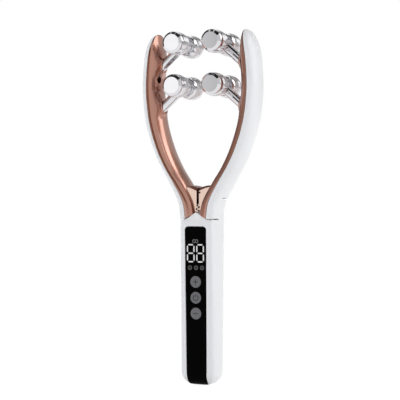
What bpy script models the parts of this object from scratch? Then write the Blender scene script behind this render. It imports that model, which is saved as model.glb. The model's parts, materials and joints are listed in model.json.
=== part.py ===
"""Microcurrent face roller: a handle with a display, and two geared arms that carry eight rollers.

Metres, +Z up along the handle, the display faces -Y, and the arms open sideways along X.
The underside of the handle is at z = 0 and the handle's centre line is the Z axis.
"""
import math

import bmesh
import bpy
from mathutils import Matrix, Vector

# Handle
HANDLE_WIDTH = 0.0224
SHOULDER_HEIGHT = 0.0985
HALF_DEPTH_TOP = 0.0098
HALF_DEPTH_FOOT = 0.0079
CORNER_WIDTH = 0.0046
HOUSING_WALL = 0.0018
HOUSING_ROUNDNESS = 4.0
PARTING_Y = -0.0010
FOOT_RADIUS = 0.0085
FOOT_RADIUS_DEPTH = 0.0064
FOOT_TURN = math.radians(73.7)
APEX_RISE = 0.0046
EDGE_SHOULDER_X = 0.0082
EDGE_MIDDLE_X = 0.0045
EDGE_MIDDLE_RISE = 0.0017
REAR_RISE = 0.0119
SLOPE_DROP = 0.0029
SLOPE_DEPTH = 0.0024
RUNNING_GAP = 0.0003
OVERRUN = 0.0010
APEX_HEIGHT = SHOULDER_HEIGHT + APEX_RISE
EDGE_MIDDLE_HEIGHT = SHOULDER_HEIGHT + EDGE_MIDDLE_RISE
REAR_TOP = SHOULDER_HEIGHT + REAR_RISE
SLOPE_START = SHOULDER_HEIGHT - SLOPE_DROP

# Front panel, display and buttons
PANEL_WIDTH_TOP = 0.0136
PANEL_WIDTH_FOOT = 0.0127
PANEL_DROP = 0.0041
PANEL_TOP = SHOULDER_HEIGHT - PANEL_DROP
PANEL_CORNER = 0.0020
PANEL_THICKNESS = 0.0008
PANEL_PROUD = 0.0001
PANEL_FOOT_TURN = math.radians(64)
PANEL_FOOT_NARROWING = 0.0010
DISPLAY_WIDTH = 0.0118
DISPLAY_LENGTH = 0.0195
DISPLAY_DROP = 0.0059
DISPLAY_TOP = PANEL_TOP - DISPLAY_DROP
DISPLAY_FOOT = DISPLAY_TOP - DISPLAY_LENGTH
BUTTON_DIAMETER = 0.0069
BUTTON_PITCH = 0.0094
POWER_BUTTON_DROP = 0.0421
POWER_BUTTON_HEIGHT = PANEL_TOP - POWER_BUTTON_DROP
BUTTON_PROUD = 0.0002
BUTTON_TRAVEL = 0.0004
BUTTON_FLANGE_WIDTH = 0.0008
BUTTON_FLANGE_THICKNESS = 0.0004
BUTTON_STEM_RADIUS = 0.0011
SWITCH_SIZE = 0.0036
SWITCH_HEIGHT = 0.0008
SWITCH_NUB_RADIUS = 0.0009
SWITCH_NUB_HEIGHT = 0.0003

# Electronics inside the handle
BOARD_THICKNESS = 0.0010
BOARD_SIDE_GAP = 0.0012
BOARD_WIDTH = HANDLE_WIDTH - 2 * (HOUSING_WALL + BOARD_SIDE_GAP)
BOARD_FRONT = -0.0040
BOARD_FOOT = 0.0290
BOARD_DROP = 0.0065
BOARD_TOP = SHOULDER_HEIGHT - BOARD_DROP
BOARD_SCREW_FOOT_INSET = 0.0030
BOARD_SCREW_TOP_INSET = 0.0017
BOARD_SCREW_FOOT = BOARD_FOOT + BOARD_SCREW_FOOT_INSET
BOARD_SCREW_TOP = BOARD_TOP - BOARD_SCREW_TOP_INSET
SCREW_RADIUS = 0.0008
SCREW_HEAD_RADIUS = 0.0015
SCREW_HEAD_HEIGHT = 0.0008
SCREW_GRIP = 0.0020
POST_RADIUS = 0.0016
BATTERY_SIDE_INSET = 0.0017
BATTERY_WIDTH = BOARD_WIDTH - 2 * BATTERY_SIDE_INSET
BATTERY_DEPTH = 0.0080
BATTERY_FOOT_INSET = 0.0070
BATTERY_TOP_INSET = 0.0120
BATTERY_FOOT = BOARD_FOOT + BATTERY_FOOT_INSET
BATTERY_TOP = BOARD_TOP - BATTERY_TOP_INSET
BATTERY_CORNER = 0.0015
BOARD_CORNER = 0.0006
MOTOR_RADIUS = 0.0029
MOTOR_AXIS_Y = -0.0029
MOTOR_FOOT = 0.0165
MOTOR_TOP = 0.0262
WEIGHT_RADIUS = 0.0024
WEIGHT_FOOT = 0.0130
WEIGHT_HEIGHT = 0.0028
MOTOR_SHAFT_RADIUS = 0.0004
MOTOR_SHAFT_REACH = 0.0020
PORT_WIDTH = 0.0092
PORT_HEIGHT = 0.0034
PORT_DEPTH = 0.0060
PORT_CENTRE = 0.0175
PORT_WALL = 0.0004
PORT_TONGUE_WIDTH = 0.0060
PORT_TONGUE_THICKNESS = 0.0007
PORT_TONGUE_SETBACK = 0.0010
PORT_RECESS = 0.0003
PORT_BOARD_HEIGHT = 0.0160
PORT_BOARD_WIDTH = 0.0140

# Hinge of the arms
PIVOT_X = 0.0056
PIVOT_RISE = 0.0065
PIVOT_HEIGHT = SHOULDER_HEIGHT + PIVOT_RISE
ARM_OPENING = math.radians(7)
TEETH = 14
TOOTH_MODULE = 2 * PIVOT_X / TEETH
TOOTH_BACKLASH = 0.00045
PRESSURE_ANGLE = math.radians(20)
ADDENDUM = 0.00075
DEDENDUM = 0.00120
GEAR_FRONT_INSET = 0.0034
GEAR_BACK_INSET = 0.0032
GEAR_POCKET_DEPTH = 0.0018
GEAR_HUB_DEPTH = 0.0071
GEAR_FRONT = -HALF_DEPTH_TOP + GEAR_FRONT_INSET
GEAR_BACK = HALF_DEPTH_TOP - GEAR_BACK_INSET
GEAR_HUB_FRONT = GEAR_FRONT + GEAR_POCKET_DEPTH
GEAR_HUB_BACK = GEAR_HUB_FRONT + GEAR_HUB_DEPTH
GEAR_RISE = 0.0142
GEAR_TOP = PIVOT_HEIGHT + GEAR_RISE
GEAR_CHAMFER_HEIGHT = 0.0012
GEAR_CHAMFER_DEPTH = 0.0020
CROTCH_CHAMFER_SHARE = 1.65
SLOT_NOTCH_WIDTH = 0.0010
SLOT_NOTCH_DROP = 0.0039
SLOT_NOTCH_LENGTH = 0.0011
SLOT_NOTCH_TOP = GEAR_TOP - SLOT_NOTCH_DROP
SLOT_NOTCH_FOOT = SLOT_NOTCH_TOP - SLOT_NOTCH_LENGTH
GEAR_HUB_RADIUS = 0.0033
GEAR_ROOM_GAP = 0.0004
GEAR_ARC_START = math.radians(175)
GEAR_ARC_END = math.radians(65)
FIRST_TOOTH = math.radians(-52)
LAST_TOOTH = math.radians(30)
TOOTH_PLACES = range(-2, 3)
LEFT_PHASE = math.radians(11.9)
SLOT_HALF_WIDTH = 0.00080
CROTCH_DROP = 0.0016
CROTCH_HEIGHT = GEAR_TOP - CROTCH_DROP
PIN_RADIUS = 0.0013
EAR_RADIUS = 0.0021
EAR_THICKNESS = 0.0012
EAR_GAP = 0.0004
BRACKET_DROP = 0.0093
BRACKET_FOOT = PIVOT_HEIGHT - BRACKET_DROP
BRACKET_THICKNESS = 0.0012
BRACKET_SIDE_GAP = 0.0006
BRACKET_HALF_WIDTH = HANDLE_WIDTH / 2 - HOUSING_WALL - BRACKET_SIDE_GAP
SHELF_DEPTH = 0.0055
SHELF_HEIGHT = 0.0026
SHELF_HALF_WIDTH = 0.0040
BRACKET_SCREW_INSET = 0.0058
BRACKET_SCREW_Y = HALF_DEPTH_TOP - BRACKET_SCREW_INSET
SPRING_RADIUS = 0.0021
SPRING_WIRE = 0.00028
SPRING_PITCH = 0.00095
SPRING_TURNS = 2
SPRING_LEG = 0.0040

# Arms
ARM_SPREAD = 0.0326
ARM_REACH = 0.1125
ARM_TIP = SHOULDER_HEIGHT + ARM_REACH
ARM_PARTING_OFFSET = 0.0005
ARM_OUTER_WIDTH = 0.0046
ARM_INNER_WIDTH = 0.0056
ARM_HALF_DEPTH = HALF_DEPTH_TOP
ARM_WALL = 0.0012
ARM_ROUNDNESS_ROOT = 4.0
ARM_ROUNDNESS = 2.35
ARM_ROUND_RISE = 0.0285
ARM_ROUND_FROM = SHOULDER_HEIGHT + ARM_ROUND_RISE
ARM_FOOT_DROP = 0.0015
ARM_FOOT = SHOULDER_HEIGHT - ARM_FOOT_DROP
ARM_TIP_LENGTH = 0.0140
ARM_INNER_TIP_LENGTH = 0.0200
ARM_PAD_HEIGHT = 0.0016
ARM_PAD_REACH = 0.0085
ARM_PAD_HALF_DEPTH = 0.0085
ARM_CAVITY_DROP = 0.0110
ARM_CAVITY_TOP = ARM_TIP - ARM_CAVITY_DROP
ARM_SEAM = 0.00015
COVER_SCREW_DROP = 0.0278
COVER_SCREW_HEIGHT = ARM_TIP - COVER_SCREW_DROP
COVER_SCREW_Y = -0.0033
COVER_SCREW_HOLE_RADIUS = 0.0020
COVER_SCREW_HEAD_RADIUS = 0.0016
COVER_SCREW_HEAD_HEIGHT = 0.0010
COVER_SCREW_SINK = 0.0026
COVER_SCREW_LENGTH = 0.0044
COVER_BOSS_RADIUS = 0.0026
COVER_BOSS_INSET = 0.0010
STRIP_WIDTH = 0.0030
STRIP_BACK = 0.0031
STRIP_THICKNESS = 0.0005
STRIP_TAB = 0.0022

# Roller stems, axles and rollers
ROLLER_INSET = 0.0199
ROLLER_X = ARM_SPREAD - ROLLER_INSET
UPPER_AXLE_DROP = 0.0072
UPPER_AXLE_HEIGHT = ARM_TIP - UPPER_AXLE_DROP
AXLE_SPACING = 0.0254
STEM_SLANT = math.radians(41)
STEM_RADIUS = 0.0029
STEM_LENGTH = 0.0194
STEM_TAIL_RADIUS = 0.0015
STEM_TAIL_LENGTH = 0.0040
STEM_HUB_RADIUS = 0.0041
STEM_HUB_HALF_LENGTH = 0.0030
STEM_BEVEL = 0.0005
STEM_HOLE_START = 0.0120
STEM_PAD_PLACE = 0.0180
STEM_WEB_HALF_WIDTH = 0.0044
STEM_WEB_INSET = 0.0013
NUT_RADIUS = 0.0026
NUT_THICKNESS = 0.0020
NUT_SETBACK = 0.0018
AXLE_RADIUS = 0.0015
AXLE_HALF_LENGTH = 0.0145
ROLLER_INNER_Y = 0.0033
ROLLER_FACE_Y = 0.0163
ROLLER_BORE_END = 0.0149
ROLLER_NECK_RADIUS = 0.0058
ROLLER_RADIUS = 0.0069
ROLLER_FACE_RADIUS = 0.0053

# Counts and shares
QUARTER_STEPS = 6
ROLLER_SIDES = 20
SMALL_SIDES = 12
NUT_SIDES = 6
PORT_CORNER_STEPS = 4
FOOT_STEPS = 5
BODY_ROWS = 6
ARM_OUTER_STEPS = 17
ARM_INNER_STEPS = 13
ARM_PAD_STEPS = 14
FLANK_STEPS = 3
PANEL_CORNER_STEPS = 4
PANEL_COLUMNS = 3
SPRING_TURN_STEPS = 12
STEM_WEB_STEPS = 40
# Centre line of an arm: share of the spread sideways, share of the reach upwards
ARM_PATH_SHARES = (
    (0.190, -0.02), (0.190, 0.0), (0.245, 0.094), (0.420, 0.190), (0.626, 0.286), (0.785, 0.382),
    (0.926, 0.510), (0.990, 0.638), (1.000, 0.733), (0.965, 0.862), (0.905, 0.956), (0.865, 1.0),
)
# Heights in the rounded tip of an arm, and how much of the inner width is lost there
ARM_TIP_SHARES = (0.22, 0.44, 0.64, 0.80, 0.92, 0.985)
INNER_TIP_SHARE = 0.75
TIP_ROUNDNESS = 2.3
INNER_TIP_POWER = 1.5
# Where the cover screw meets the rounded inner face, as a share of the inner width
SCREW_FACE_SHARE = 0.96
# Top of the hub plate from the crotch outwards: share of its width, share of its rise
GEAR_TOP_SHARES = ((0.3, 0.45), (0.6, 0.80), (1.0, 1.0))
# Heights of two points down the outer edge of the hub plate
GEAR_EDGE_SHARES = (0.66, 0.33)
# Roller outline from the neck to the face: share of the length, share of the radius range
ROLLER_OUTLINE_SHARES = (
    (0.0, 0.0), (0.06, 0.50), (0.26, 0.86), (0.56, 1.0), (0.83, 0.97), (0.95, 0.45),
)


def principled(name, red, green, blue, roughness, metallic):
    """A plain material with the part's colour and finish."""
    material = bpy.data.materials.new(name)
    material.use_nodes = True
    shader = material.node_tree.nodes["Principled BSDF"]
    shader.inputs["Base Color"].default_value = (red, green, blue, 1)
    shader.inputs["Roughness"].default_value = roughness
    shader.inputs["Metallic"].default_value = metallic
    material.diffuse_color = (red, green, blue, 1)
    return material


for old_object in list(bpy.data.objects):
    bpy.data.objects.remove(old_object)

WHITE = principled("white_gloss_abs", 0.84, 0.84, 0.86, 0.15, 0)
ROSE_GOLD = principled("rose_gold_plating", 0.71, 0.42, 0.31, 0.2, 1)
ROSE_GOLD_LIGHT = principled("light_rose_gold_plating", 0.86, 0.68, 0.58, 0.2, 1)
CHROME = principled("chrome_plating", 0.82, 0.82, 0.84, 0.06, 1)
BLACK = principled("black_gloss_panel", 0.01, 0.01, 0.01, 0.08, 0)
GREY = principled("grey_button_plastic", 0.15, 0.15, 0.155, 0.4, 0)
STEEL = principled("zinc_plated_steel", 0.55, 0.56, 0.58, 0.35, 1)
BRASS = principled("brass_strip", 0.75, 0.58, 0.25, 0.3, 1)
BOARD_GREEN = principled("circuit_board", 0.03, 0.2, 0.07, 0.5, 0)
DARK_PLASTIC = principled("dark_moulded_plastic", 0.03, 0.03, 0.035, 0.5, 0)
FOIL = principled("battery_foil", 0.5, 0.52, 0.55, 0.4, 1)


def make_object(name, points, faces, material, smooth_angle=None):
    """One named object from points and faces, its faces turned outwards."""
    mesh = bpy.data.meshes.new(name)
    work = bmesh.new()
    corners = [work.verts.new(point) for point in points]
    for face in faces:
        work.faces.new([corners[index] for index in face])
    bmesh.ops.recalc_face_normals(work, faces=work.faces)
    work.to_mesh(mesh)
    work.free()
    mesh.materials.append(material)
    if smooth_angle is not None:
        mesh.shade_smooth()
        mesh.set_sharp_from_angle(angle=smooth_angle)
    piece = bpy.data.objects.new(name, mesh)
    bpy.context.scene.collection.objects.link(piece)
    return piece


SMOOTH = math.radians(40)


def combine(piece, tool, operation):
    """Cuts the tool from the piece, or joins it on, and removes the tool."""
    modifier = piece.modifiers.new(operation, 'BOOLEAN')
    modifier.operation = operation
    modifier.object = tool
    modifier.solver = 'EXACT'
    evaluated = piece.evaluated_get(bpy.context.evaluated_depsgraph_get())
    result = bpy.data.meshes.new_from_object(evaluated)
    piece.modifiers.clear()
    material = piece.data.materials[0]
    piece.data = result
    piece.data.materials.clear()
    piece.data.materials.append(material)
    for face in piece.data.polygons:
        face.material_index = 0
    bpy.data.objects.remove(tool)


def cut(piece, tool):
    """Cuts the tool away from the piece."""
    combine(piece, tool, 'DIFFERENCE')


def join(piece, tool):
    """Joins the tool to the piece as one body."""
    combine(piece, tool, 'UNION')


def prism(name, outline, near_y, far_y, material=STEEL):
    """A solid with the outline in XZ, from near_y to far_y."""
    count = len(outline)
    points = [(x, near_y, z) for x, z in outline] + [(x, far_y, z) for x, z in outline]
    faces = [tuple(range(count)), tuple(range(2 * count - 1, count - 1, -1))]
    for index in range(count):
        after = (index + 1) % count
        faces.append((index, index + count, after + count, after))
    return make_object(name, points, faces, material)


def layered(name, layers, material=STEEL):
    """A solid through outlines with the same number of points, each at its own depth."""
    count = len(layers[0][0])
    points = [(x, y, z) for outline, y in layers for x, z in outline]
    faces = [tuple(range(count)), tuple(range(len(points) - 1, len(points) - count - 1, -1))]
    for layer in range(len(layers) - 1):
        for index in range(count):
            after = (index + 1) % count
            near = layer * count
            faces.append((index + near, index + near + count, after + near + count, after + near))
    return make_object(name, points, faces, material)


def box(name, low, high, material=STEEL):
    """A box between two corners."""
    outline = ((low[0], low[2]), (high[0], low[2]), (high[0], high[2]), (low[0], high[2]))
    return prism(name, outline, low[1], high[1], material)


def rounded_outline(half_width, foot, top, corner, steps=3):
    """An upright rectangle in XZ with rounded corners."""
    outline = []
    centres = ((half_width - corner, top - corner, 0), (-half_width + corner, top - corner, 1),
               (-half_width + corner, foot + corner, 2), (half_width - corner, foot + corner, 3))
    for x, z, quarter in centres:
        for step in range(steps + 1):
            angle = (quarter + step / steps) * math.pi / 2
            outline.append((x + corner * math.cos(angle), z + corner * math.sin(angle)))
    return outline


def turned(name, outline, centre, axis, sides, material=STEEL):
    """A turned solid: the outline lists (distance along the axis, radius), from end to end."""
    axis = Vector(axis).normalized()
    across = axis.orthogonal().normalized()
    upward = axis.cross(across)
    points = []
    rings = []
    for along, radius in outline:
        base = Vector(centre) + axis * along
        if radius == 0:
            rings.append([len(points)])
            points.append(base)
            continue
        rings.append(list(range(len(points), len(points) + sides)))
        for side in range(sides):
            angle = math.pi * (2 * side + 1) / sides
            points.append(base + (across * math.cos(angle) + upward * math.sin(angle)) * radius)
    faces = []
    for ring, following in zip(rings, rings[1:]):
        for side in range(sides):
            after = (side + 1) % sides
            if len(ring) == 1:
                faces.append((ring[0], following[side], following[after]))
            elif len(following) == 1:
                faces.append((ring[side], following[0], ring[after]))
            else:
                faces.append((ring[side], following[side], following[after], ring[after]))
    if len(rings[0]) > 1:
        faces.append(tuple(rings[0]))
    if len(rings[-1]) > 1:
        faces.append(tuple(rings[-1]))
    return make_object(name, points, faces, material, SMOOTH)


def rod(name, start, end, radius, sides=SMALL_SIDES, material=STEEL):
    """A plain round rod between two points."""
    direction = Vector(end) - Vector(start)
    return turned(name, ((0, radius), (direction.length, radius)), start, direction, sides, material)


def set_home(piece, home, parent=None):
    """Puts the object's origin at home, which is a joint's axis on a moving piece."""
    piece.data.transform(Matrix.Translation(-Vector(home)))
    piece.location = Vector(home)
    if parent is not None:
        piece.parent = parent
        piece.location = Vector(home) - parent.location


def half_shell(name, outer_rows, inner_rows, material):
    """A half shell open at its first row and closed at its last one; inner rows may be fewer."""
    points = [point for row in outer_rows + inner_rows for point in row]
    width = len(outer_rows[0])
    outer = [list(range(row * width, (row + 1) * width)) for row in range(len(outer_rows))]
    start = len(outer_rows) * width
    inner = [list(range(start + row * width, start + (row + 1) * width)) for row in range(len(inner_rows))]
    faces = []
    for rows in (outer, inner):
        for row, following in zip(rows, rows[1:]):
            for column in range(width - 1):
                faces.append((row[column], row[column + 1], following[column + 1], following[column]))
    for column in range(width - 1):
        faces.append((outer[0][column], outer[0][column + 1], inner[0][column + 1], inner[0][column]))
    for level in range(len(inner) - 1):
        for edge in (0, width - 1):
            faces.append((outer[level][edge], inner[level][edge],
                          inner[level + 1][edge], outer[level + 1][edge]))
    last = len(inner) - 1
    faces.append(tuple(inner[last]))
    faces.append(tuple(outer[-1]))
    faces.append((outer[last][0], inner[last][0], inner[last][-1], outer[last][-1],
                  outer[last + 1][-1], outer[last + 1][0]))
    for level in range(last + 1, len(outer) - 1):
        faces.append((outer[level][0], outer[level][-1], outer[level + 1][-1], outer[level + 1][0]))
    return make_object(name, points, faces, material, SMOOTH)


# Shape of the handle: half width, half depth and height at any place along it

def half_depth(height):
    """Distance from the centre plane to the straight part of the handle's front or back."""
    share = min(max(height / SHOULDER_HEIGHT, 0), 1)
    return HALF_DEPTH_FOOT + (HALF_DEPTH_TOP - HALF_DEPTH_FOOT) * share


def arm_centre(height):
    """Sideways place of an arm's parting line at a height."""
    reach = (height - SHOULDER_HEIGHT) / ARM_REACH
    places = ARM_PATH_SHARES
    index = 1
    while index < len(places) - 3 and reach > places[index + 1][1]:
        index += 1
    (x0, z0), (x1, z1), (x2, z2), (x3, z3) = places[index - 1:index + 3]
    step = z2 - z1
    share = (reach - z1) / step
    slope1 = (x2 - x0) / (z2 - z0) * step
    slope2 = (x3 - x1) / (z3 - z1) * step
    square = share * share
    cube = square * share
    value = ((2 * cube - 3 * square + 1) * x1 + (cube - 2 * square + share) * slope1
             + (3 * square - 2 * cube) * x2 + (cube - square) * slope2)
    return value * ARM_SPREAD + ARM_PARTING_OFFSET


def quarter_curve(width, depth, roundness):
    """Points of a rounded quarter from (width, 0) to (0, depth)."""
    curve = []
    for step in range(QUARTER_STEPS + 1):
        angle = math.pi / 2 * step / QUARTER_STEPS
        curve.append((width * math.cos(angle) ** (2 / roundness) if step < QUARTER_STEPS else 0,
                      depth * math.sin(angle) ** (2 / roundness) if step > 0 else 0))
    return curve


def handle_row(height, half_width, depth, facing, inset):
    """Half of the handle's outline at a height, on the side that facing gives."""
    corner = (CORNER_WIDTH * half_width / (HANDLE_WIDTH / 2)) if half_width < HANDLE_WIDTH / 2 else CORNER_WIDTH
    flat = half_width - corner
    quarter = quarter_curve(corner - inset, depth - inset + facing * -PARTING_Y, HOUSING_ROUNDNESS)
    parting = PARTING_Y + (RUNNING_GAP / 2 if facing > 0 else -RUNNING_GAP / 2)
    right = [Vector((flat + x, parting + facing * y, height)) for x, y in quarter]
    left = [Vector((-point.x, point.y, height)) for point in reversed(right)]
    return right + left


def housing(name, facing, top_heights):
    """Half of the handle's casing, open at the top and closed at the foot."""
    outer = []
    inner = []
    for height in top_heights:
        half_width = max(arm_centre(height) - ARM_PARTING_OFFSET + CORNER_WIDTH, HANDLE_WIDTH / 2)
        outer.append(handle_row(height, half_width, HALF_DEPTH_TOP, facing, 0))
        inner.append(handle_row(height, half_width, HALF_DEPTH_TOP, facing, HOUSING_WALL))
    foot_start = foot_point(0)[1]
    for row in range(BODY_ROWS):
        height = SHOULDER_HEIGHT + (foot_start - SHOULDER_HEIGHT) * row / (BODY_ROWS - 1)
        outer.append(handle_row(height, HANDLE_WIDTH / 2, half_depth(height), facing, 0))
        inner.append(handle_row(height, HANDLE_WIDTH / 2, half_depth(height), facing, HOUSING_WALL))
    for step in range(1, FOOT_STEPS + 1):
        turn = FOOT_TURN * step / FOOT_STEPS
        narrowing, height, shallowing = foot_point(turn)
        depth = half_depth(foot_start) - shallowing
        outer.append(handle_row(height, HANDLE_WIDTH / 2 - narrowing, depth, facing, 0))
        if height > 2 * HOUSING_WALL:
            inner.append(handle_row(height, HANDLE_WIDTH / 2 - narrowing, depth, facing, HOUSING_WALL))
    return half_shell(name, outer, inner, WHITE)


def foot_point(turn):
    """How far the rounded foot has drawn in sideways, its height, and how far it has drawn in in depth."""
    sunk = FOOT_RADIUS * (1 - math.sin(FOOT_TURN))
    return (FOOT_RADIUS * (1 - math.cos(turn)), FOOT_RADIUS * (1 - math.sin(turn)) - sunk,
            FOOT_RADIUS_DEPTH * (1 - math.cos(turn)))


# Front and rear housing

front_housing = housing("front_housing", -1, (APEX_HEIGHT + OVERRUN,))
rear_housing = housing("rear_housing", 1, (REAR_TOP, (REAR_TOP + SHOULDER_HEIGHT) / 2))

# Thick nose between the arm roots, sloped on its front, and the pointed upper edge
NOSE_BACK = GEAR_FRONT - RUNNING_GAP
NOSE_HALF_WIDTH = HANDLE_WIDTH / 2 - CORNER_WIDTH
NOSE_FRONT = -HALF_DEPTH_TOP + HOUSING_WALL / 3
join(front_housing, box("nose", (-NOSE_HALF_WIDTH, NOSE_FRONT, BRACKET_FOOT),
                        (NOSE_HALF_WIDTH, NOSE_BACK, APEX_HEIGHT)))


def edge_line(gap):
    """Upper edge of the front housing, from side to side: flat shoulders and a pointed middle."""
    edge = HANDLE_WIDTH
    return [(-edge, SHOULDER_HEIGHT + gap), (-EDGE_SHOULDER_X, SHOULDER_HEIGHT + gap),
            (-EDGE_MIDDLE_X, EDGE_MIDDLE_HEIGHT + gap), (0, APEX_HEIGHT + gap),
            (EDGE_MIDDLE_X, EDGE_MIDDLE_HEIGHT + gap),
            (EDGE_SHOULDER_X, SHOULDER_HEIGHT + gap), (edge, SHOULDER_HEIGHT + gap)]


EDGE_TOP = APEX_HEIGHT + 3 * OVERRUN
cut(front_housing, prism("upper_edge", edge_line(0) + [(HANDLE_WIDTH, EDGE_TOP), (-HANDLE_WIDTH, EDGE_TOP)],
                         -HALF_DEPTH_TOP - OVERRUN, OVERRUN))
SLOPE_RISE = APEX_HEIGHT - SLOPE_START
SLOPE_REACH = OVERRUN * SLOPE_RISE / SLOPE_DEPTH
slope_points = []
for slope_x in (-HANDLE_WIDTH, HANDLE_WIDTH):
    slope_points += [(slope_x, -HALF_DEPTH_TOP - OVERRUN, SLOPE_START - SLOPE_REACH),
                     (slope_x, -HALF_DEPTH_TOP + 2 * SLOPE_DEPTH, SLOPE_START + 2 * SLOPE_RISE),
                     (slope_x, -HALF_DEPTH_TOP - OVERRUN, SLOPE_START + 2 * SLOPE_RISE)]
cut(front_housing, make_object("slope", slope_points,
                               ((0, 1, 2), (3, 4, 5), (0, 1, 4, 3), (1, 2, 5, 4), (2, 0, 3, 5)), STEEL))

# Shelves that carry the hinge bracket
SHELF_TOP = BRACKET_FOOT - RUNNING_GAP
for shelf_side, shelf_housing in ((-1, front_housing), (1, rear_housing)):
    shelf_wall = shelf_side * (HALF_DEPTH_TOP - HOUSING_WALL / 2)
    shelf_end = shelf_side * (HALF_DEPTH_TOP - HOUSING_WALL - SHELF_DEPTH)
    join(shelf_housing, box("shelf", (-SHELF_HALF_WIDTH, min(shelf_wall, shelf_end), SHELF_TOP - SHELF_HEIGHT),
                            (SHELF_HALF_WIDTH, max(shelf_wall, shelf_end), SHELF_TOP)))
    cut(shelf_housing, rod("shelf_hole", (0, shelf_side * BRACKET_SCREW_Y, SHELF_TOP - SCREW_GRIP - RUNNING_GAP),
                           (0, shelf_side * BRACKET_SCREW_Y, SHELF_TOP + OVERRUN), SCREW_RADIUS + RUNNING_GAP))


# Front panel, which follows the front of the handle and wraps round its foot

def panel_rows(grow, lift, thickness):
    """Outer and inner rows of the panel, grown at its edges by grow and lifted off by lift."""
    rows = []
    stations = []
    for step in range(PANEL_CORNER_STEPS + 1):
        turn = math.pi / 2 * step / PANEL_CORNER_STEPS
        drop = (PANEL_CORNER + grow) * (1 - math.sin(math.pi / 2 - turn))
        inset = (PANEL_CORNER + grow) * (1 - math.cos(math.pi / 2 - turn))
        stations.append((PANEL_TOP + grow - drop, inset, 0))
    stations.append((foot_point(0)[1], 0, 0))
    foot_turn = PANEL_FOOT_TURN + grow / FOOT_RADIUS
    for step in range(1, FOOT_STEPS + 2):
        stations.append((None, 0, foot_turn * step / (FOOT_STEPS + 1)))
    for height, corner_inset, turn in stations:
        narrowing, foot_height, shallowing = foot_point(turn)
        if height is None:
            height = foot_height
            depth = half_depth(foot_point(0)[1]) - shallowing
        else:
            depth = half_depth(height)
        share = min(height / PANEL_TOP, 1)
        width = PANEL_WIDTH_FOOT + (PANEL_WIDTH_TOP - PANEL_WIDTH_FOOT) * share
        side = min(width / 2 + grow, HANDLE_WIDTH / 2 - narrowing - PANEL_FOOT_NARROWING + grow) - corner_inset
        corner = CORNER_WIDTH * (1 - narrowing / (HANDLE_WIDTH / 2))
        flat = HANDLE_WIDTH / 2 - narrowing - corner
        lean = math.atan2(FOOT_RADIUS_DEPTH * math.sin(turn), FOOT_RADIUS * math.cos(turn))
        outward = Vector((0, -math.cos(lean), -math.sin(lean)))
        row = []
        for level in (lift, lift - thickness):
            line = []
            for column in range(-PANEL_COLUMNS, PANEL_COLUMNS + 1):
                x = side * column / PANEL_COLUMNS
                beyond = max(abs(x) - flat, 0) / corner
                curve = (1 - beyond ** HOUSING_ROUNDNESS) ** (1 / HOUSING_ROUNDNESS)
                y = PARTING_Y - (depth + PARTING_Y) * curve
                line.append(Vector((x, y, height)) + outward * level)
            row.append(line)
        rows.append(row)
    return rows


def panel_solid(name, grow, lift, thickness):
    """The panel as one solid."""
    rows = panel_rows(grow, lift, thickness)
    columns = len(rows[0][0])
    points = [point for row in rows for line in row for point in line]

    def index(row, layer, column):
        return (row * 2 + layer) * columns + column

    faces = []
    for row in range(len(rows) - 1):
        for column in range(columns - 1):
            for layer in (0, 1):
                faces.append((index(row, layer, column), index(row, layer, column + 1),
                              index(row + 1, layer, column + 1), index(row + 1, layer, column)))
        for column in (0, columns - 1):
            faces.append((index(row, 0, column), index(row, 1, column),
                          index(row + 1, 1, column), index(row + 1, 0, column)))
    for row in (0, len(rows) - 1):
        for column in range(columns - 1):
            faces.append((index(row, 0, column), index(row, 1, column),
                          index(row, 1, column + 1), index(row, 0, column + 1)))
    return make_object(name, points, faces, BLACK, SMOOTH)


display_panel = panel_solid("display_panel", 0, PANEL_PROUD, PANEL_THICKNESS + PANEL_PROUD)
cut(front_housing, panel_solid("panel_recess", RUNNING_GAP, OVERRUN, PANEL_THICKNESS + OVERRUN + RUNNING_GAP))

# Display module behind the panel, and its window in the front housing
BOARD_BACK = BOARD_FRONT + BOARD_THICKNESS
DISPLAY_FRONT = -half_depth(DISPLAY_FOOT) + PANEL_THICKNESS + RUNNING_GAP
DISPLAY_BACK = BOARD_FRONT - RUNNING_GAP
led_display = prism("led_display", rounded_outline(DISPLAY_WIDTH / 2, DISPLAY_FOOT, DISPLAY_TOP, BOARD_CORNER),
                    DISPLAY_FRONT, DISPLAY_BACK, DARK_PLASTIC)
set_home(led_display, (0, DISPLAY_FRONT, (DISPLAY_FOOT + DISPLAY_TOP) / 2))
cut(front_housing, prism("display_window",
                         rounded_outline(DISPLAY_WIDTH / 2 + RUNNING_GAP, DISPLAY_FOOT - RUNNING_GAP,
                                         DISPLAY_TOP + RUNNING_GAP, BOARD_CORNER),
                         -HALF_DEPTH_TOP - OVERRUN, DISPLAY_BACK))

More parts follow.
